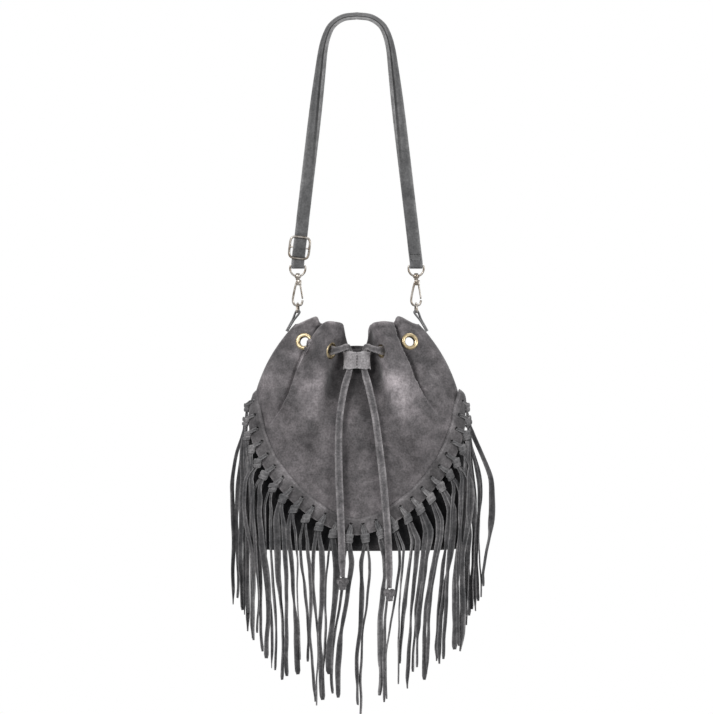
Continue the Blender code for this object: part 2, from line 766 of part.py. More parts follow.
def build_hook(side, sign, boss_top):
    x = sign * STRAP_HALF_SPREAD
    neck, top, bend, pivot = hook_places(boss_top)
    w = HOOK_HALF_WIDTH
    bow = spline_points(
        [
            (0, 0, top), (-0.0016, 0, top - 0.0030), (-0.62 * w, 0, top - 0.0095), (-w, 0, bend + 0.0065),
            (-0.72 * w, 0, bend + 0.0013), (0, 0, bend), (0.72 * w, 0, bend + 0.0013), (w, 0, bend + 0.0058),
        ],
        3,
    )
    head = boss_top + GAP
    path = [(0, 0, head + 0.0012), (0, 0, head), (0, 0, head - 0.00005), (0, 0, neck + 0.00005), (0, 0, neck)]
    radii = [0.0021, 0.0025, POST_RADIUS, POST_RADIUS, 0.0024]
    radii += [0.0022] + [HOOK_WIRE] * (len(bow) - 1)
    points = [Vector(p) + Vector((x, 0, 0)) for p in path + bow]
    made = new_object(f"{side}_snap_hook", wire(points, radii, (0, 1, 0), 8), NICKEL)
    pin = pivot + Vector((x, 0, 0))
    cheek = 0.0008
    half = GATE_THICK / 2 + GAP
    for mark, y in (("front", -half - cheek), ("back", half)):
        low = (x - 0.0012, y, pin.z - 0.0014)
        high = (pin.x + 0.0014, y + cheek, top + 0.0004)
        boolean(made, block(low, high), "UNION", f"{side}_{mark}_cheek")
    hole = rod(pin - Vector((0, 0.004, 0)), pin + Vector((0, 0.004, 0)), GATE_PIN_RADIUS + PIN_PLAY, 12)
    boolean(made, hole, "DIFFERENCE", f"{side}_pin_hole")
    clear = rod(pin - Vector((0, half, 0)), pin + Vector((0, half, 0)), 0.0014 + GAP, 16)
    boolean(made, clear, "DIFFERENCE", f"{side}_gate_room")
    length = half + cheek
    rivet = wire(
        [(pin.x, y, pin.z) for y in (-length - 0.0005, -length - GAP, -length - GAP + 0.00001,
                                     length + GAP - 0.00001, length + GAP, length + 0.0005)],
        [0.0009, 0.0011, GATE_PIN_RADIUS, GATE_PIN_RADIUS, 0.0011, 0.0009],
        (0, 0, 1), 12,
    )
    new_object(f"{side}_gate_rivet", rivet, NICKEL)
    tip = Vector((x + w - 0.0002, 0, bend + 0.0058 + GAP + 0.0012))
    gate = wire(
        [pin + (tip - pin) * share for share in (0.0, 0.25, 0.5, 0.75, 1.0)],
        [0.0010, 0.0010, 0.0009, 0.0009, 0.0009], (0, 1, 0), 10,
    )
    lever = new_object(f"{side}_hook_gate", gate, NICKEL)
    eye = rod(pin - Vector((0, GATE_THICK / 2, 0)), pin + Vector((0, GATE_THICK / 2, 0)), 0.0014, 16)
    boolean(lever, eye, "UNION", f"{side}_gate_eye")
    bore = rod(pin - Vector((0, 0.003, 0)), pin + Vector((0, 0.003, 0)), GATE_PIN_RADIUS + PIN_PLAY / 2, 12)
    boolean(lever, bore, "DIFFERENCE", f"{side}_gate_bore")
    lever.data.transform(Matrix.Translation(-pin))
    lever.location = pin
    for name in (f"{side}_gate_eye", f"{side}_gate_bore"):
        helper = bpy.data.objects[name]
        helper.data.transform(Matrix.Translation(-pin))
        helper.location = pin
    return bend


def build_ring(side, sign, bend):
    """The bag's D-ring hangs in the hook's bend, stands across it, and has its flat side below."""
    x = sign * STRAP_HALF_SPREAD
    top = bend + HOOK_WIRE + GAP + RING_WIRE
    low = top - RING_HEIGHT + 2 * RING_WIRE
    half = RING_WIDTH / 2 - RING_WIRE
    corner = 0.001
    path = [(half - corner, low), (-half + corner, low), (-half, low + corner)]
    for k in range(13):
        t = math.pi * (1 - k / 12)
        path.append((half * math.cos(t), low + 2 * corner + (top - low - 2 * corner) * math.sin(t)))
    path.append((half, low + corner))
    new_object(f"{side}_bag_ring", wire([(x, y, z) for y, z in path], RING_WIRE, (1, 0, 0), 8, True), NICKEL)
    return low


def build_tab(side, sign, ring_low):
    """A leather tab folded round the ring and sewn down the outside of the side seam."""
    top = Vector((STRAP_HALF_SPREAD, 0, ring_low))
    wrap = RING_WIRE + GAP + TAB_THICK / 2
    lie = (TAB_THICK + GAP) / 2
    foot_z = ring_low - TAB_LENGTH
    edge = half_width(foot_z)
    slope = (half_width(foot_z + 1e-4) - edge) / 1e-4
    outward = Vector((1, 0, -slope)).normalized()
    foot = Vector((edge, 0, foot_z)) + outward * (lie + GAP + TAB_THICK / 2)
    run = (top - foot).normalized()
    aside = Vector((run.z, 0, -run.x))
    length = (top - foot).length
    legs = []
    for share in (0.0, 0.2, 0.4, 0.6, 0.8, 1.0):
        legs.append((foot + run * length * share, lie + (wrap - lie) * smooth(share * 1.1)))
    points = [p - aside * h for p, h in legs]
    turns = [math.pi * k / 8 for k in range(1, 8)]
    points += [top + wrap * (math.sin(t) * run - math.cos(t) * aside) for t in turns]
    points += [p + aside * h for p, h in reversed(legs)]
    across = Vector((0, 1, 0))
    stations = []
    for i, p in enumerate(points):
        ahead = points[min(i + 1, len(points) - 1)] - points[max(i - 1, 0)]
        stations.append((p, across, across.cross(ahead)))
    mirrored = [(Vector((sign * p.x, p.y, p.z)), a, Vector((sign * n.x, n.y, n.z))) for p, a, n in stations]
    new_object(f"{side}_ring_tab", ribbon(mirrored, TAB_WIDTH, TAB_THICK), LEATHER_GREY)


# Drawstring


def cord_route():
    """The drawstring: left tail, keeper, round the inside of the mouth, keeper, right tail."""
    top = KEEPER_Z + KEEPER_HEIGHT / 2
    low = KEEPER_Z - KEEPER_HEIGHT / 2
    c = CHANNEL_SPREAD
    y = KEEPER_Y
    half = [
        (-c, y, low), (-c, y, KEEPER_Z), (-c, y, top), (-0.0105, -0.0275, -0.3628), (-0.0160, -0.0310, -0.3645),
        (-0.0220, -0.0333, -0.3664), (-0.0282, -0.0285, -0.3670), (-0.0340, -0.0239, -0.3676),
        (-0.0385, -0.0140, -0.3690), (-0.0395, 0.0, -0.3700),
        (-0.0385, 0.0140, -0.3690), (-0.0340, 0.0239, -0.3676), (-0.0282, 0.0285, -0.3670),
        (-0.0220, 0.0333, -0.3664), (0.0, 0.0310, -0.3645),
    ]
    left_tail = [
        (-0.0155, -0.0635, -0.6100), (-0.0170, -0.0622, -0.5600),
        (-0.0195, -0.0552, -0.4950), (-0.0190, -0.0462, -0.4450), (-0.0140, -0.0350, -0.4100),
    ]
    right_tail = [
        (0.0350, -0.0635, -0.6220), (0.0335, -0.0622, -0.5700),
        (0.0280, -0.0552, -0.5050), (0.0205, -0.0462, -0.4450), (0.0135, -0.0350, -0.4100),
    ]
    mirrored = [(-x, yy, z) for x, yy, z in reversed(half[:-1])]
    return left_tail + half + mirrored + list(reversed(right_tail))


def build_drawstring():
    points = spline_points(cord_route(), 2)
    data = bpy.data.curves.new("drawstring", "CURVE")
    data.dimensions = "3D"
    data.bevel_depth = CORD_RADIUS
    data.bevel_resolution = 2
    data.use_fill_caps = True
    spline = data.splines.new("POLY")
    spline.points.add(len(points) - 1)
    for knot, p in zip(spline.points, points):
        knot.co = (*p, 1.0)
    data.materials.append(LEATHER_GREY)
    made = bpy.data.objects.new("drawstring", data)
    bpy.context.scene.collection.objects.link(made)
    for name, p in (("left_tail_knot", points[0]), ("right_tail_knot", points[-1])):
        bm = bmesh.new()
        size = Matrix.Diagonal((1.0, 0.75, 1.1, 1.0))
        place = Matrix.Translation(p - Vector((0, 0, TAIL_KNOT_RADIUS * 1.1 + GAP))) @ size
        bmesh.ops.create_uvsphere(bm, u_segments=12, v_segments=8, radius=TAIL_KNOT_RADIUS, matrix=place)
        new_object(name, bm, LEATHER_GREY)


def build_keeper():
    """A folded suede sleeve, sewn down its middle into two channels for the drawstring."""
    half = Vector((KEEPER_WIDTH / 2, KEEPER_THICK / 2, KEEPER_HEIGHT / 2))
    centre = Vector((0, KEEPER_Y, KEEPER_Z))
    made = new_object("cord_keeper", block(centre - half, centre + half), SUEDE_GREY)
    for name, sign in (("left_channel", -1), ("right_channel", 1)):
        x = sign * CHANNEL_SPREAD
        low = (x, KEEPER_Y, KEEPER_Z - KEEPER_HEIGHT)
        high = (x, KEEPER_Y, KEEPER_Z + KEEPER_HEIGHT)
        boolean(made, rod(low, high, CORD_RADIUS + 3 * GAP), "DIFFERENCE", name)
    return made


build_panel()
build_base()
build_band()
build_fringe()
build_eyelets()
build_strap()
build_slider()
for side, sign in (("left", -1), ("right", 1)):
    boss_top = build_loop(side, sign)
    bend = build_hook(side, sign, boss_top)
    ring_low = build_ring(side, sign, bend)
    build_tab(side, sign, ring_low)
build_drawstring()
build_keeper()
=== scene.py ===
import math
import random

import bmesh
import bpy
from mathutils import Matrix, Vector, noise


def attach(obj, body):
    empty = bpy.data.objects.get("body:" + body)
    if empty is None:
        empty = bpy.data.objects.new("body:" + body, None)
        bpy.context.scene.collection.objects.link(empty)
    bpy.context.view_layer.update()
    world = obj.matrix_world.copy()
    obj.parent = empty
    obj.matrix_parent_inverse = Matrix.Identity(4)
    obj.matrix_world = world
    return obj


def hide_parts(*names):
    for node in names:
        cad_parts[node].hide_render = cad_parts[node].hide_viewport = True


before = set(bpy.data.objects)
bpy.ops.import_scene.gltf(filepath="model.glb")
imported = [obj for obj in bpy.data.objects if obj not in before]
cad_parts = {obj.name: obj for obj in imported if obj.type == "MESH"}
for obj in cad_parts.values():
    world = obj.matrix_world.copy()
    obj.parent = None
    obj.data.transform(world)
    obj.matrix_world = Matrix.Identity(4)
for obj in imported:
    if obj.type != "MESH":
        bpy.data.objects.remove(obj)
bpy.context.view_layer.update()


# Studio
# The bag hangs in front of a plain white background, over a white floor, with soft lamps. The camera looks level at
# its front from far enough away that the bag keeps its proportions.
PHOTO_WIDTH = 0.7843
VIEW_CENTRE = Vector((-0.0005, 0.0, -0.3740))
CAMERA_AWAY = 2.7


def placed(name, data):
    """An object in the scene, at the origin until it is moved."""
    made = bpy.data.objects.new(name, data)
    bpy.context.scene.collection.objects.link(made)
    return made


def add_node(tree, kind, inputs=None, **settings):
    """A node with its settings and its inputs' values."""
    made = tree.nodes.new(kind)
    for name, value in settings.items():
        setattr(made, name, value)
    for socket, value in (inputs or {}).items():
        made.inputs[socket].default_value = value
    return made


def join(tree, *links):
    """Links, each given as a node, its output, the next node and its input."""
    for source, output, target, socket in links:
        tree.links.new(source.outputs[output], target.inputs[socket])


SENSOR = 36.0
camera = bpy.data.cameras.new("studio_camera")
camera.sensor_width = SENSOR
camera.lens = SENSOR * CAMERA_AWAY / PHOTO_WIDTH
camera.clip_end = 20.0
eye = placed("studio_camera", camera)
eye.location = VIEW_CENTRE - Vector((0.0, CAMERA_AWAY, 0.0))
eye.rotation_euler = (math.pi / 2, 0.0, 0.0)
bpy.context.scene.camera = eye
bpy.context.scene.view_settings.view_transform = "Standard"
for name, place, size, watts in (
    ("key_lamp", (-1.4, -1.9, 0.9), 0.9, 36.0), ("fill_lamp", (1.9, -1.7, 0.3), 1.0, 26.0),
    ("top_lamp", (0.3, 0.6, 1.5), 1.0, 14.0),
):
    lamp = bpy.data.lights.new(name, "AREA")
    lamp.shape = "DISK"
    lamp.size = size
    lamp.energy = watts
    held = placed(name, lamp)
    held.location = place
    held.rotation_euler = (VIEW_CENTRE - Vector(place)).to_track_quat("-Z", "Y").to_euler()

# The world lights the bag softly, and is seen and mirrored as plain white.
world = bpy.data.worlds.new("studio_world")
bpy.context.scene.world = world
world.use_nodes = True
tree = world.node_tree
tree.nodes.clear()
lighting = add_node(tree, "ShaderNodeBackground", {"Color": (0.95, 0.97, 1.0, 1.0), "Strength": 0.33})
seen = add_node(tree, "ShaderNodeBackground", {"Color": (1.0, 1.0, 1.0, 1.0)})
ray = add_node(tree, "ShaderNodeLightPath")
sight = add_node(tree, "ShaderNodeMath", operation="MAXIMUM")
through = add_node(tree, "ShaderNodeMath", operation="MAXIMUM")
choice = add_node(tree, "ShaderNodeMixShader")
out = add_node(tree, "ShaderNodeOutputWorld")
join(
    tree, (ray, "Is Camera Ray", sight, 0), (ray, "Is Glossy Ray", sight, 1), (sight, 0, through, 0),
    (ray, "Is Transmission Ray", through, 1), (through, 0, choice, "Fac"), (lighting, 0, choice, 1),
    (seen, 0, choice, 2), (choice, 0, out, "Surface"),
)

FLOOR_Z = -1.12
floor_paint = bpy.data.materials.new("white_floor")
floor_paint.use_nodes = True
tree = floor_paint.node_tree
matte = tree.nodes["Principled BSDF"]
matte.inputs["Base Color"].default_value = (0.86, 0.86, 0.86, 1.0)
matte.inputs["Roughness"].default_value = 0.9
glow = add_node(tree, "ShaderNodeEmission")
ray = add_node(tree, "ShaderNodeLightPath")
share = add_node(tree, "ShaderNodeMath", {1: 0.85}, operation="MULTIPLY")
choice = add_node(tree, "ShaderNodeMixShader")
join(
    tree, (ray, "Is Camera Ray", share, 0), (share, 0, choice, "Fac"), (matte, 0, choice, 1), (glow, 0, choice, 2),
    (choice, 0, tree.nodes["Material Output"], "Surface"),
)
mesh = bpy.data.meshes.new("studio_floor")
corners = [(-1.6, -1.2, FLOOR_Z), (1.6, -1.2, FLOOR_Z), (1.6, 1.6, FLOOR_Z), (-1.6, 1.6, FLOOR_Z)]
mesh.from_pydata(corners, [], [(0, 1, 2, 3)])
mesh.materials.append(floor_paint)
placed("studio_floor", mesh)


# Gathered panel
# One soft suede skin, drawn in at the mouth and cut to a curved hem in front. It is 2 mm thick, with a brushed
# nap, a pleat beside each front hump, and eight round holes pressed flat for the eyelets.
SUEDE = 0.0020
RIM_Z = -0.338
BASE_Z = -0.584
BASE_HALF_WIDTH = 0.122
BASE_HALF_DEPTH = 0.052
RIM_HALF_WIDTH = 0.068
RIM_HALF_DEPTH = 0.022
BACK_HEM_Z = -0.568
GATHER_END_Z = -0.452
VALLEY_HALF_WIDTH = 0.17
HEM_SIDE_Z = -0.421
HEM_DROP = 0.143
SIDE_SEAM_TURN = math.radians(8)
PLAIN_Z = -0.404
EYELET_SEAT = 0.0063
EYELET_RIM = 0.0093
INNER_EYELET = (0.31, -0.367)
OUTER_EYELET = (0.685, -0.357)
VALLEY_DEPTH = 0.017
HUMP_RISE = 0.010
CREASE_DEPTH = 0.008
NOTCH_DEPTH = 0.027
FLAT_REACH = 0.0110
FLAT_DEPTH = 0.0040


def smooth(share):
    """An eased step from 0 to 1."""
    share = min(max(share, 0.0), 1.0)
    return share * share * (3 - 2 * share)


def bump(distance, half_width):
    """A soft hump, 1 in its middle."""
    return math.exp(-((distance / half_width) ** 2))


def half_width(z):
    """Half the width of the plain oval wall at a height."""
    share = max((z - BACK_HEM_Z) / (RIM_Z - BACK_HEM_Z), 0.0)
    return BASE_HALF_WIDTH - (BASE_HALF_WIDTH - RIM_HALF_WIDTH) * share ** 4.1


def half_depth(z):
    """Half its depth at a height."""
    share = max((z - BACK_HEM_Z) / (RIM_Z - BACK_HEM_Z), 0.0)
    return BASE_HALF_DEPTH - (BASE_HALF_DEPTH - RIM_HALF_DEPTH) * share ** 1.6


def gather(u, z):
    """How far the drawn wall stands out from the plain oval at a share u of the half width."""
    drawn = smooth((z - GATHER_END_Z) / (RIM_Z - GATHER_END_Z))
    below_ruffle = smooth((RIM_Z - z) / 0.028)
    pulled = smooth((z - GATHER_END_Z) / (-0.372 - GATHER_END_Z))
    valley = VALLEY_DEPTH * math.exp(-((u / (VALLEY_HALF_WIDTH + 0.11 * below_ruffle)) ** 4))
    hump = HUMP_RISE * bump(abs(u) - 0.385, 0.13)
    crease = CREASE_DEPTH * bump(abs(u) - 0.535 - 0.10 * (1 - drawn), 0.07)
    return drawn * (hump - crease) - pulled * valley


def wall_point(turn, z, inset=0.0):
    """A point of the pouch wall. Turn 0 is the front middle, a quarter turn is the side seam."""
    u = math.sin(turn)
    c = math.cos(turn)
    front = 1 if c >= 0 else -1
    x = (half_width(z) - inset) * u
    y = (half_depth(z) - inset) * abs(c) ** 0.75 + gather(u, z) * min(abs(c) * 3, 1)
    return Vector((x, -front * y, z))


def wall_frame(turn, z):
    """The wall's point, its outward normal, and its steps along the turn and along the height."""
    small = 1e-4
    p = wall_point(turn, z)
    along = (wall_point(turn + small, z) - wall_point(turn - small, z)) / (2 * small)
    up = (wall_point(turn, z + small) - wall_point(turn, z - small)) / (2 * small)
    return p, along.cross(up).normalized(), along, up


def rim_height(turn):
    """The scalloped upper edge, dipped in the middle where the drawstring holds it."""
    u = abs(math.sin(turn))
    notch = NOTCH_DEPTH * math.exp(-((u / VALLEY_HALF_WIDTH) ** 4))
    return RIM_Z + 0.0085 * bump(u - 0.76, 0.12) + 0.002 * bump(u - 0.35, 0.10) - notch


def hem_height(turn):
    """The lower edge: a laced curve in front, straight behind."""
    turn = (turn + math.pi) % (2 * math.pi) - math.pi
    if abs(turn) >= math.pi / 2:
        past = (abs(turn) - math.pi / 2) / SIDE_SEAM_TURN
        return HEM_SIDE_Z + (BACK_HEM_Z - HEM_SIDE_Z) * smooth(past)
    u = abs(math.sin(turn))
    return HEM_SIDE_Z - HEM_DROP * (1 - u ** 1.6) ** (1 / 1.8)


eyelets = {}
for side, sign in (("left", -1), ("right", 1)):
    for kind, (u, z) in (("inner", INNER_EYELET), ("outer", OUTER_EYELET)):
        turn = sign * math.asin(u)
        for face, at in (("front", turn), ("back", math.pi - turn)):
            p, n, _, _ = wall_frame(at, z)
            eyelets[f"{face}_{side}_{kind}_eyelet"] = (p, n)


def flattened(p):
    """The wall is pressed flat where an eyelet is set."""
    for centre, normal in eyelets.values():
        away = p - centre
        height = away.dot(normal)
        reach = (away - height * normal).length
        held = 1 - smooth((reach - FLAT_REACH) / 0.0060)
        held *= 1 - smooth((abs(height) - FLAT_DEPTH) / FLAT_DEPTH)
        p = p - height * held * normal
    return p


# Each fold: the points it runs through (x, z), how wide it is, and how far it stands out or falls in.
FRONT_FOLDS = [
    ([(-0.020, -0.374), (-0.024, -0.400), (-0.034, -0.440)], 0.0065, -0.0045),
    ([(0.019, -0.374), (0.024, -0.405), (0.034, -0.445)], 0.0060, -0.0040),
    ([(-0.036, -0.385), (-0.050, -0.420), (-0.060, -0.455)], 0.0110, 0.0032),
    ([(0.034, -0.380), (0.044, -0.410), (0.052, -0.440)], 0.0120, 0.0042),
    ([(-0.078, -0.385), (-0.098, -0.420), (-0.104, -0.450)], 0.0080, -0.0030),
    ([(0.080, -0.378), (0.098, -0.400), (0.106, -0.425)], 0.0080, -0.0030),
    ([(0.040, -0.405), (0.062, -0.398), (0.080, -0.404)], 0.0045, -0.0014),
    ([(0.048, -0.428), (0.070, -0.422), (0.092, -0.430)], 0.0050, -0.0014),
    ([(-0.045, -0.398), (-0.064, -0.392), (-0.080, -0.400)], 0.0045, -0.0013),
    ([(-0.048, -0.470), (-0.070, -0.462), (-0.094, -0.470)], 0.0080, -0.0016),
    ([(-0.012, -0.470), (-0.020, -0.500), (-0.016, -0.530)], 0.0100, -0.0018),
    ([(0.050, -0.455), (0.062, -0.480), (0.060, -0.505)], 0.0140, -0.0022),
    ([(-0.062, -0.435), (-0.050, -0.465), (-0.046, -0.490)], 0.0120, -0.0020),
    ([(-0.033, -0.330), (-0.032, -0.350), (-0.036, -0.372)], 0.0036, -0.0034),
    ([(-0.052, -0.385), (-0.048, -0.410), (-0.055, -0.430)], 0.0050, -0.0020),
    ([(0.033, -0.385), (0.050, -0.396), (0.066, -0.393)], 0.0050, -0.0018),
    ([(0.090, -0.372), (0.084, -0.382), (0.092, -0.392)], 0.0040, -0.0014),
    ([(-0.104, -0.408), (-0.092, -0.402), (-0.080, -0.410)], 0.0045, -0.0016),
    ([(-0.098, -0.432), (-0.086, -0.426), (-0.076, -0.434)], 0.0050, -0.0016),
]
# Painted highlights where the front's folds catch the light, and painted shade where the amount is below zero: its
# place (x, z), its size, and how pale.
PAINTED_LIGHT_PATCHES = [
    ((0.038, -0.402), 0.021, 0.42), ((0.030, -0.372), 0.010, 0.22), ((-0.092, -0.398), 0.017, 0.36),
    ((-0.066, -0.372), 0.012, 0.22), ((0.090, -0.392), 0.016, 0.34), ((0.062, -0.420), 0.012, 0.20),
    ((-0.036, -0.346), 0.010, 0.20), ((-0.048, -0.404), 0.012, 0.16), ((-0.098, -0.445), 0.010, 0.18),
    ((0.048, -0.350), 0.010, 0.22), ((-0.010, -0.480), 0.012, -0.20), ((0.050, -0.470), 0.020, -0.08),
    ((-0.024, -0.400), 0.010, -0.30), ((0.006, -0.428), 0.012, -0.16), ((-0.082, -0.430), 0.010, -0.22),
    ((-0.050, -0.372), 0.007, -0.26), ((0.078, -0.365), 0.009, -0.14),
]
BACK_FOLDS = [
    ([(-0.018, -0.372), (-0.026, -0.420), (-0.040, -0.480)], 0.0080, -0.0040),
    ([(0.020, -0.372), (0.028, -0.430), (0.036, -0.500)], 0.0080, -0.0040),
    ([(0.040, -0.380), (0.054, -0.430), (0.066, -0.480)], 0.0120, 0.0030),
    ([(-0.042, -0.380), (-0.052, -0.440), (-0.070, -0.500)], 0.0130, 0.0030),
    ([(-0.080, -0.380), (-0.096, -0.420), (-0.100, -0.470)], 0.0080, -0.0026),
    ([(0.080, -0.380), (0.096, -0.425), (0.102, -0.480)], 0.0080, -0.0026),
    ([(-0.060, -0.520), (-0.020, -0.512), (0.030, -0.522)], 0.0120, -0.0018),
]
LEFT_PLEAT = [(-0.335, 0.500), (-0.352, 0.512), (-0.362, 0.572), (-0.370, 0.610), (-0.381, 0.625),
              (-0.399, 0.618), (-0.414, 0.640), (-0.429, 0.700), (-0.458, 0.850)]
RIGHT_PLEAT = [(-0.335, 0.505), (-0.352, 0.470), (-0.363, 0.478), (-0.385, 0.520), (-0.407, 0.585),
               (-0.421, 0.665), (-0.446, 0.800)]
PLEAT_STEP = 0.0046
PLEAT_LAP = 0.0040


def along_line(line, x, z):
    """How far a point lies from a drawn line, and how far along it."""
    best = (1.0, 0.0)
    parts = len(line) - 1
    for i, ((ax, az), (bx, bz)) in enumerate(zip(line, line[1:])):
        dx, dz = bx - ax, bz - az
        t = ((x - ax) * dx + (z - az) * dz) / (dx * dx + dz * dz)
        t = min(max(t, 0.0), 1.0)
        away = math.hypot(x - ax - t * dx, z - az - t * dz)
        if away < best[0]:
            best = (away, (i + t) / parts)
    return best


def folded(p, front):
    """How far the small folds, dents and lumps move the skin out."""
    rise = 0.0
    for line, width, depth in (FRONT_FOLDS if front else BACK_FOLDS):
        away, along = along_line(line, p.x, p.z)
        if away < 3 * width:
            rise += depth * bump(away, width) * smooth(along * 3 + 0.35) * smooth((1 - along) * 3 + 0.35)
    q = p * 26.0
    rise += 0.0013 * noise.noise(q + Vector((3.1, 0, 0))) + 0.0006 * noise.noise(q * 2.7)
    rise += 0.0003 * noise.noise(p * 210.0)
    drawn = smooth((p.z + 0.440) / 0.080)
    rise += 0.0014 * drawn * noise.noise(Vector((p.x * 80.0, p.y * 40.0 + 7.0, p.z * 22.0)))
    rise += 0.0007 * noise.noise(Vector((p.x * 60.0, p.y * 60.0, p.z * 95.0 + 4.0)))
    return rise


def pleat_at(z, left):
    """The share of the half width where the pleat runs at a height."""
    line = LEFT_PLEAT if left else RIGHT_PLEAT
    for (za, ua), (zb, ub) in zip(line, line[1:]):
        if zb <= z <= za:
            return ua + (ub - ua) * (za - z) / (za - zb)
    return line[0][1] if z > line[0][0] else line[-1][1]


def skin_point(turn, z):
    """The wall with its folds, and its tone: worn pale at the rim, with painted light and painted shade on the folds
    and in the drawn-in valley.
    """
    p, n, _, _ = wall_frame(turn, z)
    front = math.cos(turn) >= 0
    side = smooth(abs(math.cos(turn)) * 4)
    calm = side
    for centre, normal in eyelets.values():
        calm *= smooth(((p - centre).length - 0.0105) / 0.0060)
    above_hem = z - hem_height(turn)
    if front:
        calm *= 0.15 + 0.85 * smooth((above_hem - 0.020) / 0.018)
        calm *= 1 - 0.55 * bump(p.x - 0.004, 0.026) * smooth((-0.400 - z) / 0.02)
    rise = folded(p, front) * calm
    lumps = rise
    shift = 0.0
    left = p.x < 0
    if front:
        u = abs(math.sin(turn))
        off = u - pleat_at(z, left)
        line = LEFT_PLEAT if left else RIGHT_PLEAT
        fade = smooth((z - line[-1][0]) / 0.050)
        inside = smooth(0.5 - off / 0.030)
        near = bump(off + 0.012, 0.050)
        hold = 1.0
        for name in ("front_left_outer_eyelet", "front_right_outer_eyelet"):
            hold = min(hold, smooth(((p - eyelets[name][0]).length - 0.0060) / 0.0050))
        rise += PLEAT_STEP * fade * inside * bump(min(off + 0.03, 0.0), 0.16) * hold
        rise -= 0.0022 * fade * bump(off - 0.024, 0.024) * hold
        shift = PLEAT_LAP * fade * near * inside * hold * (-1 if left else 1)
    q = flattened(p) + n * rise + Vector((shift, 0, 0))
    ridge = rubbed_and_painted_light = 0.0
    if front:
        # A pale line along the pleat's edge: a painted highlight where the fold catches the light.
        ridge = 0.9 * bump(off + 0.004, 0.012) * fade * hold
        # The listed patches: painted highlights on the lit humps, and painted shade in hollows beside the cords.
        rubbed_and_painted_light = sum(pale * bump(math.hypot(p.x - x, p.z - h), size) for (x, h), size, pale in PAINTED_LIGHT_PATCHES)
    # Raised folds are painted paler and sunken ones darker: painted light and shade. The rim's edge is worn pale,
    # with a thin darker line just under it.
    wear_and_painted_light = 0.38 + lumps * 75.0 + ridge + rubbed_and_painted_light + 0.34 * bump(rim_height(turn) - z, 0.0026)
    wear_and_painted_light -= 0.16 * bump(rim_height(turn) - z - 0.0056, 0.0016)
    # Painted shade where the wall is drawn in: the middle valley and the creases.
    wear_and_painted_light -= 0.45 * smooth(-gather(math.sin(turn), z) / 0.014) * (0.5 + 0.5 * side)
    return q, min(max(wear_and_painted_light, 0.0), 1.0)


def thicken(made, depth):
    """A sheet gets its thickness on its inner side."""
    wall = made.modifiers.new("thickness", "SOLIDIFY")
    wall.thickness = depth
    wall.offset = -1


def fit(made, node, body):
    """A finished piece: the node it stands for, and the body it rides on."""
    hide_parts(node)
    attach(made, body)


def skin_mesh(name, turns, heights_of, holes, finish, thickness):
    """A ring of cloth or leather between two edges, with round holes, given its thickness inwards."""
    points, wear_and_painted_light = [], []
    for turn in turns:
        for z in heights_of(turn):
            q, w = skin_point(turn, z)
            points.append(q)
            wear_and_painted_light.append(w)
    rows = len(points) // len(turns)
    faces = []
    for i in range(len(turns)):
        j = (i + 1) % len(turns)
        for r in range(rows - 1):
            faces.append((i * rows + r, j * rows + r, j * rows + r + 1, i * rows + r + 1))
    kept = []
    for face in faces:
        middle = sum((points[k] for k in face), Vector()) / 4
        if all((middle - c).length > EYELET_SEAT or abs((middle - c).dot(n)) > FLAT_DEPTH for c, n in holes):
            kept.append(face)
    used = {k for face in kept for k in face}
    for centre, normal in holes:
        for k in used:
            away = points[k] - centre
            height = away.dot(normal)
            flat = away - height * normal
            if flat.length < EYELET_SEAT * 1.12 and abs(height) < FLAT_DEPTH:
                points[k] = centre + flat.normalized() * max(flat.length, EYELET_SEAT)
    order = {k: i for i, k in enumerate(sorted(used))}
    mesh = bpy.data.meshes.new(name)
    mesh.from_pydata([points[k] for k in sorted(used)], [], [tuple(order[k] for k in f) for f in kept])
    layer = mesh.attributes.new("wear_and_painted_light", "FLOAT", "POINT")
    layer.data.foreach_set("value", [wear_and_painted_light[k] for k in sorted(used)])
    mesh.materials.append(finish)
    mesh.shade_smooth()
    made = placed(name, mesh)
    thicken(made, thickness)
    return made


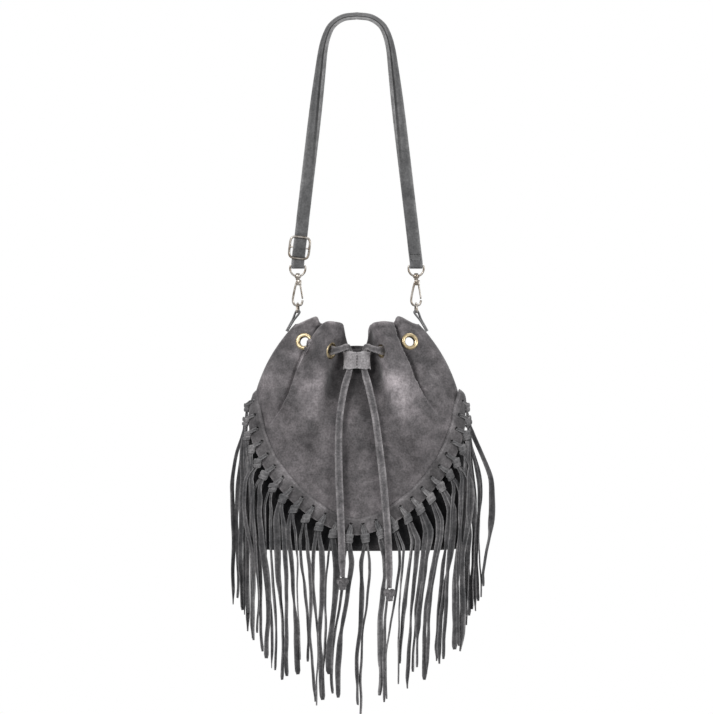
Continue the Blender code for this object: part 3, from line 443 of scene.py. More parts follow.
def suede_finish(name, low, middle, high, worn, nap=0.30, patch=30.0):
    """Brushed suede: cloudy patches of lighter and darker tone, fine grain, and pale worn edges; the per-point tone
    also carries painted highlights and painted shade.
    """
    made = bpy.data.materials.new(name)
    made.use_nodes = True
    tree = made.node_tree
    shader = tree.nodes["Principled BSDF"]
    look = {"Roughness": 0.92, "Specular IOR Level": 0.12, "Sheen Weight": nap, "Sheen Roughness": 0.45}
    for socket, value in look.items():
        shader.inputs[socket].default_value = value
    place = add_node(tree, "ShaderNodeTexCoord")
    clouds = add_node(
        tree, "ShaderNodeTexNoise", {"Scale": patch, "Detail": 5.0, "Roughness": 0.55, "Distortion": 0.8}
    )
    tones = add_node(tree, "ShaderNodeValToRGB")
    ramp = tones.color_ramp.elements
    ramp[0].position, ramp[0].color = 0.32, (*low, 1.0)
    ramp[1].position, ramp[1].color = 0.70, (*high, 1.0)
    ramp.new(0.50).color = (*middle, 1.0)
    grain = add_node(tree, "ShaderNodeTexNoise", {"Scale": 520.0, "Detail": 3.0})
    middle_of_noise = {"From Min": 0.3, "From Max": 0.7}
    speck = add_node(tree, "ShaderNodeMapRange", {**middle_of_noise, "To Min": 0.74, "To Max": 1.26})
    blotch = add_node(tree, "ShaderNodeTexNoise", {"Scale": patch * 5.0, "Detail": 4.0})
    blotched = add_node(tree, "ShaderNodeMapRange", {**middle_of_noise, "To Min": 0.78, "To Max": 1.22})
    both = add_node(tree, "ShaderNodeMath", operation="MULTIPLY")
    # The per-point tone: above 0.40 it mixes toward the worn colour, for worn edges and painted highlights; below
    # 0.40 it darkens to as little as half, for darker tones and painted shade.
    rubbed_and_painted_light = add_node(tree, "ShaderNodeAttribute", attribute_name="wear_and_painted_light")
    amount = add_node(tree, "ShaderNodeMapRange", {"From Min": 0.40, "From Max": 1.0})
    deep = add_node(tree, "ShaderNodeMapRange", {"From Min": 0.0, "From Max": 0.40, "To Min": 0.50})
    pale = add_node(tree, "ShaderNodeMix", data_type="RGBA")
    grained, lifted, shaded = [
        add_node(tree, "ShaderNodeMix", {"Factor": 1.0}, data_type="RGBA", blend_type="MULTIPLY") for _ in range(3)
    ]
    lifted.inputs["B"].default_value = (*[w / m for w, m in zip(worn, middle)], 1.0)
    relief = add_node(tree, "ShaderNodeBump", {"Strength": 0.35, "Distance": 0.0005})
    join(
        tree, (place, "Object", clouds, "Vector"), (place, "Object", grain, "Vector"), (clouds, "Fac", tones, "Fac"),
        (grain, "Fac", speck, "Value"), (tones, "Color", grained, "A"), (place, "Object", blotch, "Vector"),
        (blotch, "Fac", blotched, "Value"), (speck, "Result", both, 0), (blotched, "Result", both, 1),
        (both, "Value", grained, "B"), (rubbed_and_painted_light, "Fac", amount, "Value"), (rubbed_and_painted_light, "Fac", deep, "Value"),
        (amount, "Result", pale, "Factor"), (grained, "Result", pale, "A"), (grained, "Result", lifted, "A"),
        (lifted, "Result", pale, "B"), (pale, "Result", shaded, "A"), (deep, "Result", shaded, "B"),
        (shaded, "Result", shader, "Base Color"), (grain, "Fac", relief, "Height"),
        (relief, "Normal", shader, "Normal"),
    )
    return made


def panel_turns(front_count, back_count):
    """Turns round the wall, closer together near the front and back middles."""
    turns = []
    for middle, count in ((0.0, front_count), (math.pi, back_count)):
        for i in range(count):
            t = -1 + 2 * i / count
            turns.append(middle + math.pi / 2 * (0.62 * t + 0.38 * t ** 3))
    return turns


def panel_heights(turn, plain=44, gathered=58):
    """Heights from the hem to the rim at a turn, closer together in the gathers."""
    low, high = hem_height(turn), rim_height(turn)
    heights = [low + (PLAIN_Z - low) * i / plain for i in range(plain)]
    return heights + [PLAIN_Z + (high - PLAIN_Z) * i / gathered for i in range(gathered + 1)]


body_suede = suede_finish(
    "grey_body_suede", (0.086, 0.081, 0.083), (0.132, 0.122, 0.125), (0.195, 0.178, 0.183), (0.330, 0.302, 0.310)
)
holes = list(eyelets.values())
panel = skin_mesh("gathered_suede_panel", panel_turns(250, 150), panel_heights, holes, body_suede, SUEDE)
fit(panel, "gathered_panel", "bag")


# Lower pouch
# The dark suede pouch that the gathered panel laps over, with a flat oval base and a soft rounded corner. It is
# seen as the shadowed strip behind the fringe. Its near-black colour is partly the pouch's own dark suede and partly
# painted shade, for the shade it lies in behind the panel and the fringe.
BASE_ROUNDING = 0.009
HEM_LAP = 0.012
POUCH_GAP = 0.0006
AROUND = 180
FLOOR_RINGS = 6
CORNER_RINGS = 6
WALL_RINGS = 20


def mesh_object(name, solids, finish, sharp=42):
    """One piece from closed solids, each given as points, faces and each point's tone: how worn it is, with any
    painted light and shade.
    """
    points, faces, wear_and_painted_light = [], [], []
    for some, around, worn in solids:
        start = len(points)
        points += some
        faces += [tuple(k + start for k in face) for face in around]
        wear_and_painted_light += worn
    mesh = bpy.data.meshes.new(name)
    mesh.from_pydata(points, [], faces)
    layer = mesh.attributes.new("wear_and_painted_light", "FLOAT", "POINT")
    layer.data.foreach_set("value", wear_and_painted_light)
    bm = bmesh.new()
    bm.from_mesh(mesh)
    bmesh.ops.recalc_face_normals(bm, faces=bm.faces)
    bm.to_mesh(mesh)
    bm.free()
    mesh.materials.append(finish)
    mesh.shade_smooth()
    mesh.set_sharp_from_angle(angle=math.radians(sharp))
    return placed(name, mesh)


# Near-black: the pouch's own dark suede, darkened further with painted shade.
dark_suede_with_painted_shade = suede_finish(
    "dark_pouch_suede_with_painted_shade", (0.010, 0.010, 0.011), (0.016, 0.016, 0.017), (0.026, 0.025, 0.026), (0.050, 0.048, 0.050),
    0.08,
)
turns = [2 * math.pi * k / AROUND for k in range(AROUND)]
inset = SUEDE + POUCH_GAP
rows = []
for k in range(FLOOR_RINGS):
    rows.append([wall_point(t, BASE_Z, inset + BASE_ROUNDING) * (k + 0.5) / FLOOR_RINGS for t in turns])
    for p in rows[-1]:
        p.z = BASE_Z
for k in range(CORNER_RINGS + 1):
    lift = math.pi / 2 * k / CORNER_RINGS
    z = BASE_Z + BASE_ROUNDING * (1 - math.cos(lift))
    rows.append([wall_point(t, z, inset + BASE_ROUNDING * (1 - math.sin(lift))) for t in turns])
for k in range(1, WALL_RINGS + 1):
    line = []
    for t in turns:
        low = BASE_Z + BASE_ROUNDING
        z = low + (hem_height(t) + HEM_LAP - low) * k / WALL_RINGS
        p, n, _, _ = wall_frame(t, z)
        dent = 0.0012 * noise.noise(p * 24.0) - 0.0010
        line.append(wall_point(t, z, inset) + n * min(dent, 0.0) * smooth(k / 4))
    rows.append(line)
points = [p for line in rows for p in line] + [Vector((0, 0, BASE_Z))]
faces = []
for r in range(len(rows) - 1):
    for i in range(AROUND):
        j = (i + 1) % AROUND
        faces.append((r * AROUND + i, r * AROUND + j, (r + 1) * AROUND + j, (r + 1) * AROUND + i))
faces += [(len(points) - 1, (i + 1) % AROUND, i) for i in range(AROUND)]
wear_and_painted_light = [0.45 + 0.35 * bump(p.z - BASE_Z - 0.004, 0.004) for p in points]
pouch = mesh_object("dark_lower_pouch", [(points, faces, wear_and_painted_light)], dark_suede_with_painted_shade)
thicken(pouch, SUEDE)
fit(pouch, "lower_pouch", "bag")


# Laced band
# A facing strip of the same suede, sewn along the curved hem with a raised inner edge. Each lace of the fringe
# goes through its own round hole in it.
BAND_WIDTH = 0.018
BAND_THICK = 0.0016
BAND_BELOW_HEM = 0.002
BAND_LIFT = 0.0015
LACE_HOLE = 0.0021
LACE_INSET = 0.0085
STRANDS = 26
BAND_STEPS = 430
ACROSS = 16
FLAP_RISE = 0.0034


def hem_walk(turn, distance, out):
    """A point at a distance inwards from the laced edge, and out from the wall."""
    small = 1e-3
    z = hem_height(turn)
    ahead = min(turn + small, math.pi / 2)
    behind = max(turn - small, -math.pi / 2)
    run = (wall_point(ahead, hem_height(ahead)) - wall_point(behind, hem_height(behind))).normalized()
    at = turn
    for _ in range(6):
        p, n, along, up = wall_frame(at, z)
        across = n.cross(run).normalized()
        across = across if across.z > 0 or abs(across.z) < 0.3 and across.x * turn < 0 else -across
        move = across * (distance / 6)
        a, b, c = along.dot(along), along.dot(up), up.dot(up)
        d, e = along.dot(move), up.dot(move)
        det = a * c - b * b
        at += (d * c - e * b) / det
        z += (a * e - b * d) / det
    p, n, _, _ = wall_frame(at, z)
    return p + n * out, n


def even_turns(count, margin):
    """Turns of evenly spaced places along the laced edge."""
    fine = [-math.pi / 2 + math.pi * i / 600 for i in range(601)]
    reach = [0.0]
    for a, b in zip(fine, fine[1:]):
        reach.append(reach[-1] + (wall_point(b, hem_height(b)) - wall_point(a, hem_height(a))).length)
    turns = []
    for k in range(count):
        wanted = margin + (reach[-1] - 2 * margin) * k / (count - 1)
        i = max(next(i for i, r in enumerate(reach) if r >= wanted - 1e-9), 1)
        turns.append(fine[i - 1] + (fine[i] - fine[i - 1]) * (wanted - reach[i - 1]) / (reach[i] - reach[i - 1]))
    return turns


band_suede = suede_finish(
    "grey_band_suede", (0.084, 0.080, 0.081), (0.122, 0.115, 0.117), (0.172, 0.161, 0.164), (0.290, 0.270, 0.276)
)
lace_turns = even_turns(STRANDS, 0.007)
lace_holes = [hem_walk(turn, LACE_INSET, BAND_LIFT + BAND_THICK) for turn in lace_turns]
stations = even_turns(BAND_STEPS, 0.001)
points, wear_and_painted_light = [], []
for turn in stations:
    for k in range(ACROSS + 1):
        share = k / ACROSS
        sunk = 0.0022 * smooth((share - 0.55) / 0.45)
        wavy = 1 + 0.05 * noise.noise(Vector((turn * 9.0, 2.0, 0.0))) * smooth(share * 2 - 1)
        lift = BAND_LIFT + BAND_THICK - sunk + 0.0005 * bump(share - 0.88, 0.07)
        p, n = hem_walk(turn, -BAND_BELOW_HEM + BAND_WIDTH * share * wavy, lift)
        spare = FLAP_RISE * smooth((turn - stations[-16]) / (stations[-1] - stations[-16]))
        points.append(p + n * (0.0005 * noise.noise(p * 110.0) + spare))
        patchy = 0.6 + 0.4 * noise.noise(Vector((turn * 6.0, 0.0, 5.0)))
        rubbed_and_painted_light = 0.42 * patchy * bump(share - 0.90, 0.05) + 0.45 * bump(share, 0.06)
        wear_and_painted_light.append(0.34 + rubbed_and_painted_light + 0.30 * noise.noise(p * 60.0))
faces = []
for i in range(len(stations) - 1):
    for k in range(ACROSS):
        a = i * (ACROSS + 1) + k
        face = (a, a + ACROSS + 1, a + ACROSS + 2, a + 1)
        middle = sum((points[q] for q in face), Vector()) / 4
        if min((middle - c).length for c, _ in lace_holes) > LACE_HOLE:
            faces.append(face)
used = sorted({k for face in faces for k in face})
for centre, normal in lace_holes:
    for k in used:
        away = points[k] - centre
        if away.length < LACE_HOLE * 1.3:
            flat = away - away.dot(normal) * normal
            points[k] = centre + flat.normalized() * max(flat.length, LACE_HOLE) + normal * away.dot(normal)
order = {k: i for i, k in enumerate(used)}
band = mesh_object(
    "laced_hem_band",
    [([points[k] for k in used], [tuple(order[k] for k in f) for f in faces], [wear_and_painted_light[k] for k in used])],
    band_suede,
)
bm = bmesh.new()
bm.from_mesh(band.data)
if sum(f.normal.y * f.calc_area() for f in bm.faces) > 0:
    bmesh.ops.reverse_faces(bm, faces=bm.faces)
bm.to_mesh(band.data)
bm.free()
thicken(band, 0.0013)
fit(band, "laced_band", "bag")


# Fringe
# Each strand is one suede lace, doubled through its hole and drawn over itself in a flat hitch at the hem. Its
# two tails hang free, curl and twist along their length, and a few are cut to a point.
LACE_WIDTH = 0.0056
LACE_THICK = 0.0014
KNOT_THICK = 0.0030
STACK_STEP = 0.0022
STEM_LIFT = 0.0007
HITCH_HALF_WIDTH = 0.0052
HITCH_GAP = 0.0011
HITCH_TRAVEL = 0.0080
HITCH_ACROSS = 0.0038
HITCH_OUT = 0.0023
LEG_STEPS = 8
WRAP_STEPS = 33
TAIL_STEPS = 44
BESIDE_X = 0.110
CLEARANCE = 0.0003
REST = BAND_LIFT + BAND_THICK + CLEARANCE + STEM_LIFT
# Where the two tails of each lace end (x, z), from the left.
LACE_ENDS = [
    ((-0.134, -0.645), (-0.131, -0.638)), ((-0.126, -0.650), (-0.121, -0.655)), ((-0.119, -0.652), (-0.115, -0.672)),
    ((-0.113, -0.676), (-0.111, -0.679)), ((-0.104, -0.680), (-0.101, -0.672)), ((-0.098, -0.692), (-0.092, -0.699)),
    ((-0.089, -0.710), (-0.086, -0.712)), ((-0.078, -0.722), (-0.073, -0.718)), ((-0.062, -0.716), (-0.060, -0.700)),
    ((-0.052, -0.702), (-0.046, -0.745)), ((-0.042, -0.749), (-0.038, -0.743)), ((-0.036, -0.739), (-0.028, -0.715)),
    ((-0.026, -0.736), (-0.020, -0.740)), ((0.001, -0.748), (0.003, -0.760)), ((0.024, -0.738), (0.028, -0.745)),
    ((0.031, -0.742), (0.043, -0.726)), ((0.046, -0.704), (0.054, -0.731)), ((0.060, -0.713), (0.063, -0.708)),
    ((0.070, -0.722), (0.073, -0.716)), ((0.084, -0.702), (0.087, -0.705)), ((0.090, -0.700), (0.100, -0.690)),
    ((0.102, -0.686), (0.104, -0.692)), ((0.110, -0.664), (0.117, -0.676)), ((0.121, -0.655), (0.126, -0.648)),
    ((0.129, -0.651), (0.132, -0.640)), ((0.135, -0.637), (0.139, -0.625)),
]


def lofted(rings, worn, closed=False):
    """Points, faces and per-point tone of a body through rings of equal counts, with its two ends closed."""
    count = len(rings[0])
    points = [Vector(p) for ring in rings for p in ring]
    faces = []
    last = len(rings) if closed else len(rings) - 1
    for r in range(last):
        s = (r + 1) % len(rings)
        for i in range(count):
            j = (i + 1) % count
            faces.append((r * count + i, r * count + j, s * count + j, s * count + i))
    if not closed:
        faces.append(tuple(range(count)))
        faces.append(tuple((len(rings) - 1) * count + i for i in reversed(range(count))))
    return points, faces, [w for row in worn for w in row]


LACE_SECTION = [
    (-1.0, 0.0), (-0.88, -1.0), (-0.30, -1.0), (0.30, -1.0), (0.88, -1.0),
    (1.0, 0.0), (0.88, 1.0), (0.30, 1.0), (-0.30, 1.0), (-0.88, 1.0),
]


def lace(stations, base=0.30, edge=0.55):
    """A flat strip: each station gives its middle, the way across, the way out, half width, half thickness, curl."""
    rings, worn = [], []
    for centre, across, out_way, wide, thick, curl in stations:
        rings.append([
            centre + across * (a * wide) + out_way * (b * thick + curl * (a * a - 0.4)) for a, b in LACE_SECTION
        ])
        worn.append([base + edge * max(abs(a) - 0.55, 0.0) / 0.45 for a, _ in LACE_SECTION])
    return lofted(rings, worn)


def strand_layers(turns):
    """Strands that hang over their lower neighbours step outwards, away from the front middle."""
    layers = [0] * len(turns)
    room = 2 * HITCH_HALF_WIDTH + HITCH_GAP
    middle = len(turns) // 2
    for order in (range(middle, len(turns)), range(middle - 1, -1, -1)):
        before = None
        for k in order:
            here = wall_point(turns[k], BACK_HEM_Z)
            if before is not None:
                close = (here - wall_point(turns[before], BACK_HEM_Z)).length < room
                layers[k] = layers[before] + (1 if close else 0)
            before = k
    return layers


fringe_suede = suede_finish(
    "grey_lace_suede", (0.052, 0.052, 0.054), (0.082, 0.080, 0.082), (0.125, 0.121, 0.123), (0.235, 0.228, 0.230),
    0.22, 46.0,
)
down = Vector((0, 0, -1))
random.seed(11)
layers = strand_layers(lace_turns)
for number, (turn, layer) in enumerate(zip(lace_turns, layers), 1):
    hole, normal = hem_walk(turn, LACE_INSET, REST)
    edge, _ = hem_walk(turn, -0.0022, REST)
    fall = (edge - hole).normalized()
    level = 0.5 if abs(edge.x) < 0.104 else 0.25
    axis = (fall * level + down * (1 - level)).normalized()
    across = axis.cross(normal).normalized()
    across = across if across.x > 0 else -across
    centre = edge + axis * 0.0038 + normal * 0.0018
    solids = []
    for leg in (-1, 1):
        stations = []
        for k in range(LEG_STEPS + 1):
            t = k / LEG_STEPS
            place = hole.lerp(centre - axis * 0.0030, t) + across * leg * (0.0016 * math.sin(2.6 * t) - 0.0004)
            place = place + normal * (0.0006 - 0.0026 * bump(t, 0.15) + 0.0010 * smooth(t))
            stations.append((place, (across + axis * leg * 0.5).normalized(), normal, 0.0020, 0.0008, 0.0003))
        # The hitch's legs get a paler base than the tails: a painted highlight on the knot.
        solids.append(lace(stations, 0.56, 0.44))
    turns_round = random.uniform(1.55, 1.95)
    lean = random.uniform(-0.25, 0.25)
    stations = []
    for k in range(WRAP_STEPS + 1):
        t = k / WRAP_STEPS
        angle = math.radians(-70) + 2 * math.pi * turns_round * t
        reach = 1 + 0.10 * math.sin(3.0 * t + number)
        outward = (across * math.cos(angle) * 0.0024 + normal * math.sin(angle) * 0.0038).normalized()
        place = centre + (across * math.cos(angle) * HITCH_ACROSS + normal * math.sin(angle) * HITCH_OUT) * reach
        place = place + axis * (HITCH_TRAVEL * (t - 0.5) + lean * 0.0038 * math.cos(angle))
        wide = 0.0026 * (1 - 0.25 * bump(t, 0.1) - 0.25 * bump(t - 1, 0.1))
        stations.append((place, axis, outward, wide, 0.0008, -0.0006))
    # The wrap is paler still: a painted highlight on the knot's head.
    solids.append(lace(stations, 0.62, 0.38))
    out_from = REST + STEM_LIFT + ((KNOT_THICK + STACK_STEP * (layer - 1)) if layer else 0.0)
    for tail in (0, 1):
        end_x, end_z = LACE_ENDS[number - 1][tail]
        sign = math.copysign(1, end_x)
        beside = abs(end_x) > BESIDE_X
        start = centre + axis * 0.0052 + across * (0.0030 * tail - 0.0015)
        lead = 0.0050 + 0.0015 * tail if 0.020 < start.x < 0.100 else 0.0052 * tail - 0.0026
        lead = 0.0 if beside else lead
        sway = random.uniform(0.0004, 0.0017)
        phase = random.uniform(0, 2 * math.pi)
        wave = random.uniform(0.11, 0.20)
        twist = random.choice((0.0, 0.55, -0.55, 0.95, -0.95))
        twist_at = random.uniform(0.22, 0.80)
        set_roll = random.uniform(-0.45, 0.45)
        fullness = random.choice((0.50, 0.60, 0.72, 0.84, 1.00, 1.22))
        pinched = random.choice((0.0, 0.0, 0.30, 0.45))
        pointed = random.random() < 0.25
        stand = REST + STEM_LIFT + 0.0012 * layer if beside else out_from
        stand = stand + 0.0010 * tail + random.uniform(0.0, 0.0010)
        bow = {(1, 0): -0.0030, (26, 1): 0.0085}.get((number, tail), 0.0)
        length = start.z - end_z
        rows = []
        for k in range(TAIL_STEPS + 1):
            t = k / TAIL_STEPS
            z = start.z - length * t
            near = min(t * length / 0.022, 1.0)
            pace = smooth(t * 2.5) if beside else smooth(t * 1.10)
            x = start.x + lead * smooth(near) + (end_x - start.x - lead) * pace
            x += sway * smooth(t * 4) * math.sin(2 * math.pi * t * length / wave + phase)
            x += 0.0011 * smooth(t * 5) * noise.noise(Vector((z * 38.0, number * 3.7, tail * 9.1)))
            x += bow * math.sin(math.pi * min(max((t - 0.08) / 0.85, 0.0), 1.0))
            at_z = max(z, BACK_HEM_Z)
            at = turn if beside else math.asin(min(max(x / half_width(at_z), -0.93), 0.93))
            w, n, _, _ = wall_frame(at, at_z)
            n = Vector((n.x, n.y, 0)).normalized()
            lift = stand + 0.0014 * t * math.sin(2 * math.pi * t * length / wave + phase * 1.7)
            place = Vector((w.x, w.y, z)) + n * lift
            if beside:
                place.x = sign * max(sign * x, sign * w.x + 0.0016 + 0.0012 * smooth(t * 6))
                n = n.lerp(Vector((0, -1, 0)), 0.80 * smooth(t * 8)).normalized()
            place = start.lerp(place, smooth(near * 1.6))
            rows.append((place, n, t))
        stations = []
        for k, (place, n, t) in enumerate(rows):
            run = (rows[min(k + 1, TAIL_STEPS)][0] - rows[max(k - 1, 0)][0]).normalized()
            flat = Vector((-n.y, n.x, 0)).normalized()
            flat = (flat - run * flat.dot(run)).normalized()
            face = flat.cross(run).normalized()
            face = face if face.dot(n) > 0 else -face
            roll = (set_roll + 0.22 * math.sin(6 * t + phase)) * smooth(t * 6) + twist * smooth((t - twist_at) / 0.11)
            turned = flat * math.cos(roll) + face * math.sin(roll)
            outward = face * math.cos(roll) - flat * math.sin(roll)
            point = 1 - (0.74 * smooth((t - 0.91) / 0.09) if pointed else 0.40 * smooth((t - 0.975) / 0.025))
            neck = 0.62 + 0.38 * smooth(t * 8)
            neck *= 1 - pinched * bump(t - 1 + twist_at, 0.06)
            wide = LACE_WIDTH / 2 * fullness * point * neck * (1 + 0.16 * math.sin(9 * t + phase))
            curl = 0.0009 * math.sin(4 * t + phase) * point
            stations.append((place, turned, outward, wide, LACE_THICK / 2 * 0.85, curl))
        solids.append(lace(stations, random.uniform(0.20, 0.42), 0.60))
    strand = mesh_object(f"fringe_lace_{number:02d}", solids, fringe_suede, 55)
    fit(strand, f"fringe_strand_{number:02d}", "bag")


# Eyelets
# Turned brass eyelets, rolled over on both faces of the suede. The plating has aged to a dull gold, and the bore is
# darker only where it lies in shade.


def metal_finish(name, color, worn, rough, scale=140.0):
    """Plated metal with cloudy tarnish and fine rubbing."""
    made = bpy.data.materials.new(name)
    made.use_nodes = True
    tree = made.node_tree
    shader = tree.nodes["Principled BSDF"]
    shader.inputs["Metallic"].default_value = 1.0
    place = add_node(tree, "ShaderNodeTexCoord")
    clouds = add_node(tree, "ShaderNodeTexNoise", {"Scale": scale, "Detail": 4.0})
    tones = add_node(tree, "ShaderNodeValToRGB")
    ramp = tones.color_ramp.elements
    ramp[0].position, ramp[0].color = 0.36, (*worn, 1.0)
    ramp[1].position, ramp[1].color = 0.62, (*color, 1.0)
    fine = add_node(tree, "ShaderNodeTexNoise", {"Scale": 1400.0})
    gloss = add_node(tree, "ShaderNodeMapRange", {"To Min": rough - 0.08, "To Max": rough + 0.14})
    relief = add_node(tree, "ShaderNodeBump", {"Strength": 0.06, "Distance": 0.0002})
    join(
        tree, (place, "Object", clouds, "Vector"), (place, "Object", fine, "Vector"), (clouds, "Fac", tones, "Fac"),
        (tones, "Color", shader, "Base Color"), (clouds, "Fac", gloss, "Value"),
        (gloss, "Result", shader, "Roughness"), (fine, "Fac", relief, "Height"), (relief, "Normal", shader, "Normal"),
    )
    return made


brass = metal_finish("aged_gold_plate", (0.56, 0.46, 0.29), (0.24, 0.19, 0.11), 0.32)
EYELET_HOLE = 0.0052
EYELET_TUBE = 0.0060
EYELET_STEPS = 48
profile = [(EYELET_RIM - 0.00415 * k / 8, 0.0003 + 0.00115 * math.sin(math.pi * k / 8) ** 0.6) for k in range(9)]
profile += [(EYELET_HOLE, -0.0004), (EYELET_HOLE, -0.0018), (EYELET_HOLE + 0.0002, -0.0027)]
profile += [(EYELET_RIM - 0.0012, -0.0032), (EYELET_RIM - 0.0010, -0.0026)]
profile += [(EYELET_TUBE, -0.0023), (EYELET_TUBE, 0.0003)]
for name, (p, n) in eyelets.items():
    place = Matrix.Translation(p) @ n.to_track_quat("Z", "X").to_matrix().to_4x4()
    rings = []
    for k in range(EYELET_STEPS):
        angle = 2 * math.pi * k / EYELET_STEPS
        rings.append([place @ Vector((r * math.cos(angle), r * math.sin(angle), h)) for r, h in profile])
    ring = mesh_object(f"{name}_ring", [lofted(rings, [[0.4] * len(profile)] * EYELET_STEPS, True)], brass, 60)
    fit(ring, name, "bag")


# Drawstring
# A folded suede strip. It leaves a sewn keeper in front, goes in through the front eyelets, lies round the
# inside of the mouth past the back eyelets, and its two knotted tails hang down the front.
CORD_WIDTH = 0.0082
CORD_THICK = 0.0034
KEEPER_WIDTH = 0.031
KEEPER_HEIGHT = 0.019
KEEPER_THICK = 0.0090
KEEPER_Z = -0.3775
KEEPER_Y = -0.0235
CHANNEL = 0.0078
KEEPER_LOW = KEEPER_Z - KEEPER_HEIGHT / 2
KEEPER_TOP = KEEPER_Z + KEEPER_HEIGHT / 2


def spline_points(knots, steps):
    """Points on a smooth curve through the knots."""
    knots = [Vector(k) for k in knots]
    ends = [2 * knots[0] - knots[1]] + knots + [2 * knots[-1] - knots[-2]]
    points = []
    for a, b, c, d in zip(ends, ends[1:], ends[2:], ends[3:]):
        for i in range(steps):
            t = i / steps
            points.append(
                0.5 * (2 * b + (c - a) * t + (2 * a - 5 * b + 4 * c - d) * t * t
                       + (3 * b - a - 3 * c + d) * t ** 3)
            )
    points.append(knots[-1].copy())
    return points


cord_suede = suede_finish(
    "grey_cord_suede", (0.092, 0.088, 0.090), (0.136, 0.129, 0.132), (0.190, 0.180, 0.183), (0.340, 0.320, 0.325),
    0.25, 60.0,
)


def cord_strip(points, across_at, wide, thick, base=0.38):
    """A flat cord along its points."""
    stations = []
    for k, p in enumerate(points):
        run = (points[min(k + 1, len(points) - 1)] - points[max(k - 1, 0)]).normalized()
        across = across_at(k / (len(points) - 1), p)
        flat = (across - run * across.dot(run)).normalized()
        stations.append((p, flat, run.cross(flat).normalized(), wide(k / (len(points) - 1), p), thick, 0.0004))
    return lace(stations, base, 0.50)


half = [
    (-CHANNEL, KEEPER_Y, KEEPER_LOW), (-CHANNEL, KEEPER_Y, KEEPER_Z), (-CHANNEL, KEEPER_Y, KEEPER_TOP),
    (-0.0105, -0.0275, -0.3628), (-0.0160, -0.0310, -0.3645), (-0.0220, -0.0333, -0.3664),
    (-0.0282, -0.0285, -0.3670), (-0.0340, -0.0239, -0.3676), (-0.0385, -0.0140, -0.3690), (-0.0395, 0.0, -0.3700),
    (-0.0385, 0.0140, -0.3690), (-0.0340, 0.0239, -0.3676), (-0.0282, 0.0285, -0.3670),
    (-0.0220, 0.0333, -0.3664), (0.0, 0.0310, -0.3645),
]
route = half + [(-x, y, z) for x, y, z in reversed(half[:-1])]
held = spline_points(route, 6)
drawn_through = [eyelets[name][0] for name in eyelets if "inner" in name]
loop = mesh_object(
    "drawstring_in_mouth",
    [cord_strip(held, lambda t, p: Vector((0.0, 0.15, 1.0)) if abs(p.z - KEEPER_Z) > 0.0096 else Vector((1, 0, 0)),
                lambda t, p: 0.0032 + 0.0019 * max(bump((p - c).length, 0.0065) for c in drawn_through), 0.0018)],
    cord_suede, 60,
)
fit(loop, "drawstring", "bag")

TAILS = {
    "left": [
        (-0.0140, -0.0350, -0.4100), (-0.0190, -0.0462, -0.4450), (-0.0195, -0.0552, -0.4950),
        (-0.0170, -0.0622, -0.5600), (-0.0155, -0.0635, -0.6100),
    ],
    "right": [
        (0.0135, -0.0350, -0.4100), (0.0205, -0.0462, -0.4450), (0.0280, -0.0552, -0.5050),
        (0.0335, -0.0622, -0.5700), (0.0350, -0.0635, -0.6220),
    ],
}
KNOT_RADIUS = 0.0062
KNOT_CORD = 0.0021
KNOT_STEPS = 72
KNOT_SIDES = 12
for side, sign in (("left", -1), ("right", 1)):
    leave = (sign * CHANNEL, KEEPER_Y, KEEPER_LOW)
    above = (sign * CHANNEL, KEEPER_Y, KEEPER_Z)
    path = spline_points([above, leave] + TAILS[side], 10)[10:]
    length = sum((b - a).length for a, b in zip(path, path[1:]))
    turned = 0.55 * sign
    tail = mesh_object(
        f"{side}_drawstring_tail",
        [cord_strip(
            path,
            lambda t, p: Vector((1.0, turned * math.sin(5.2 * t) * smooth(t * 4) - 0.1, 0.0)).normalized(),
            lambda t, p: CORD_WIDTH / 2 * (0.80 + 0.20 * smooth(t * 8)) * (1 - 0.45 * smooth((t - 0.93) / 0.07)),
            CORD_THICK / 2 * 0.8,
        )],
        cord_suede, 60,
    )
    centre = path[-1] - Vector((0, 0, KNOT_RADIUS * 1.1 - 0.0004))
    loops = []
    for k in range(KNOT_STEPS):
        t = 2 * math.pi * k / KNOT_STEPS
        loops.append(centre + Vector((
            0.0019 * (math.sin(t) + 1.7 * math.sin(2 * t)),
            0.0012 * -math.sin(3 * t),
            0.0021 * (math.cos(t) - 1.7 * math.cos(2 * t)),
        )))
    rings, worn = [], []
    for k, p in enumerate(loops):
        run = (loops[(k + 1) % KNOT_STEPS] - loops[k - 1]).normalized()
        a = run.orthogonal().normalized() if not rings else (a - run * a.dot(run)).normalized()
        b = run.cross(a)
        rounds = [2 * math.pi * i / KNOT_SIDES for i in range(KNOT_SIDES)]
        rings.append([p + KNOT_CORD * (a * math.cos(angle) + b * math.sin(angle)) for angle in rounds])
        worn.append([0.35 + 0.4 * max(math.cos(angle), 0) for angle in rounds])
    solids = [lofted(rings, worn, True)]
    for lean in (-0.0022, 0.0020):
        tip = spline_points(
            [centre + Vector((lean * 0.4, 0, -0.002)), centre + Vector((lean, -0.0006, -0.0055)),
             centre + Vector((lean * 1.5, 0, -0.0068))], 4)
        solids.append(cord_strip(tip, lambda t, p: Vector((1, 0.2, 0)), lambda t, p: 0.0016 * (1 - 0.4 * t), 0.0008))
    knot = mesh_object(f"{side}_tail_hitch", solids, cord_suede, 60)
    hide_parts("drawstring")
    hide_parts(f"{side}_tail_knot")
    for piece in (tail, knot):
        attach(piece, "bag")


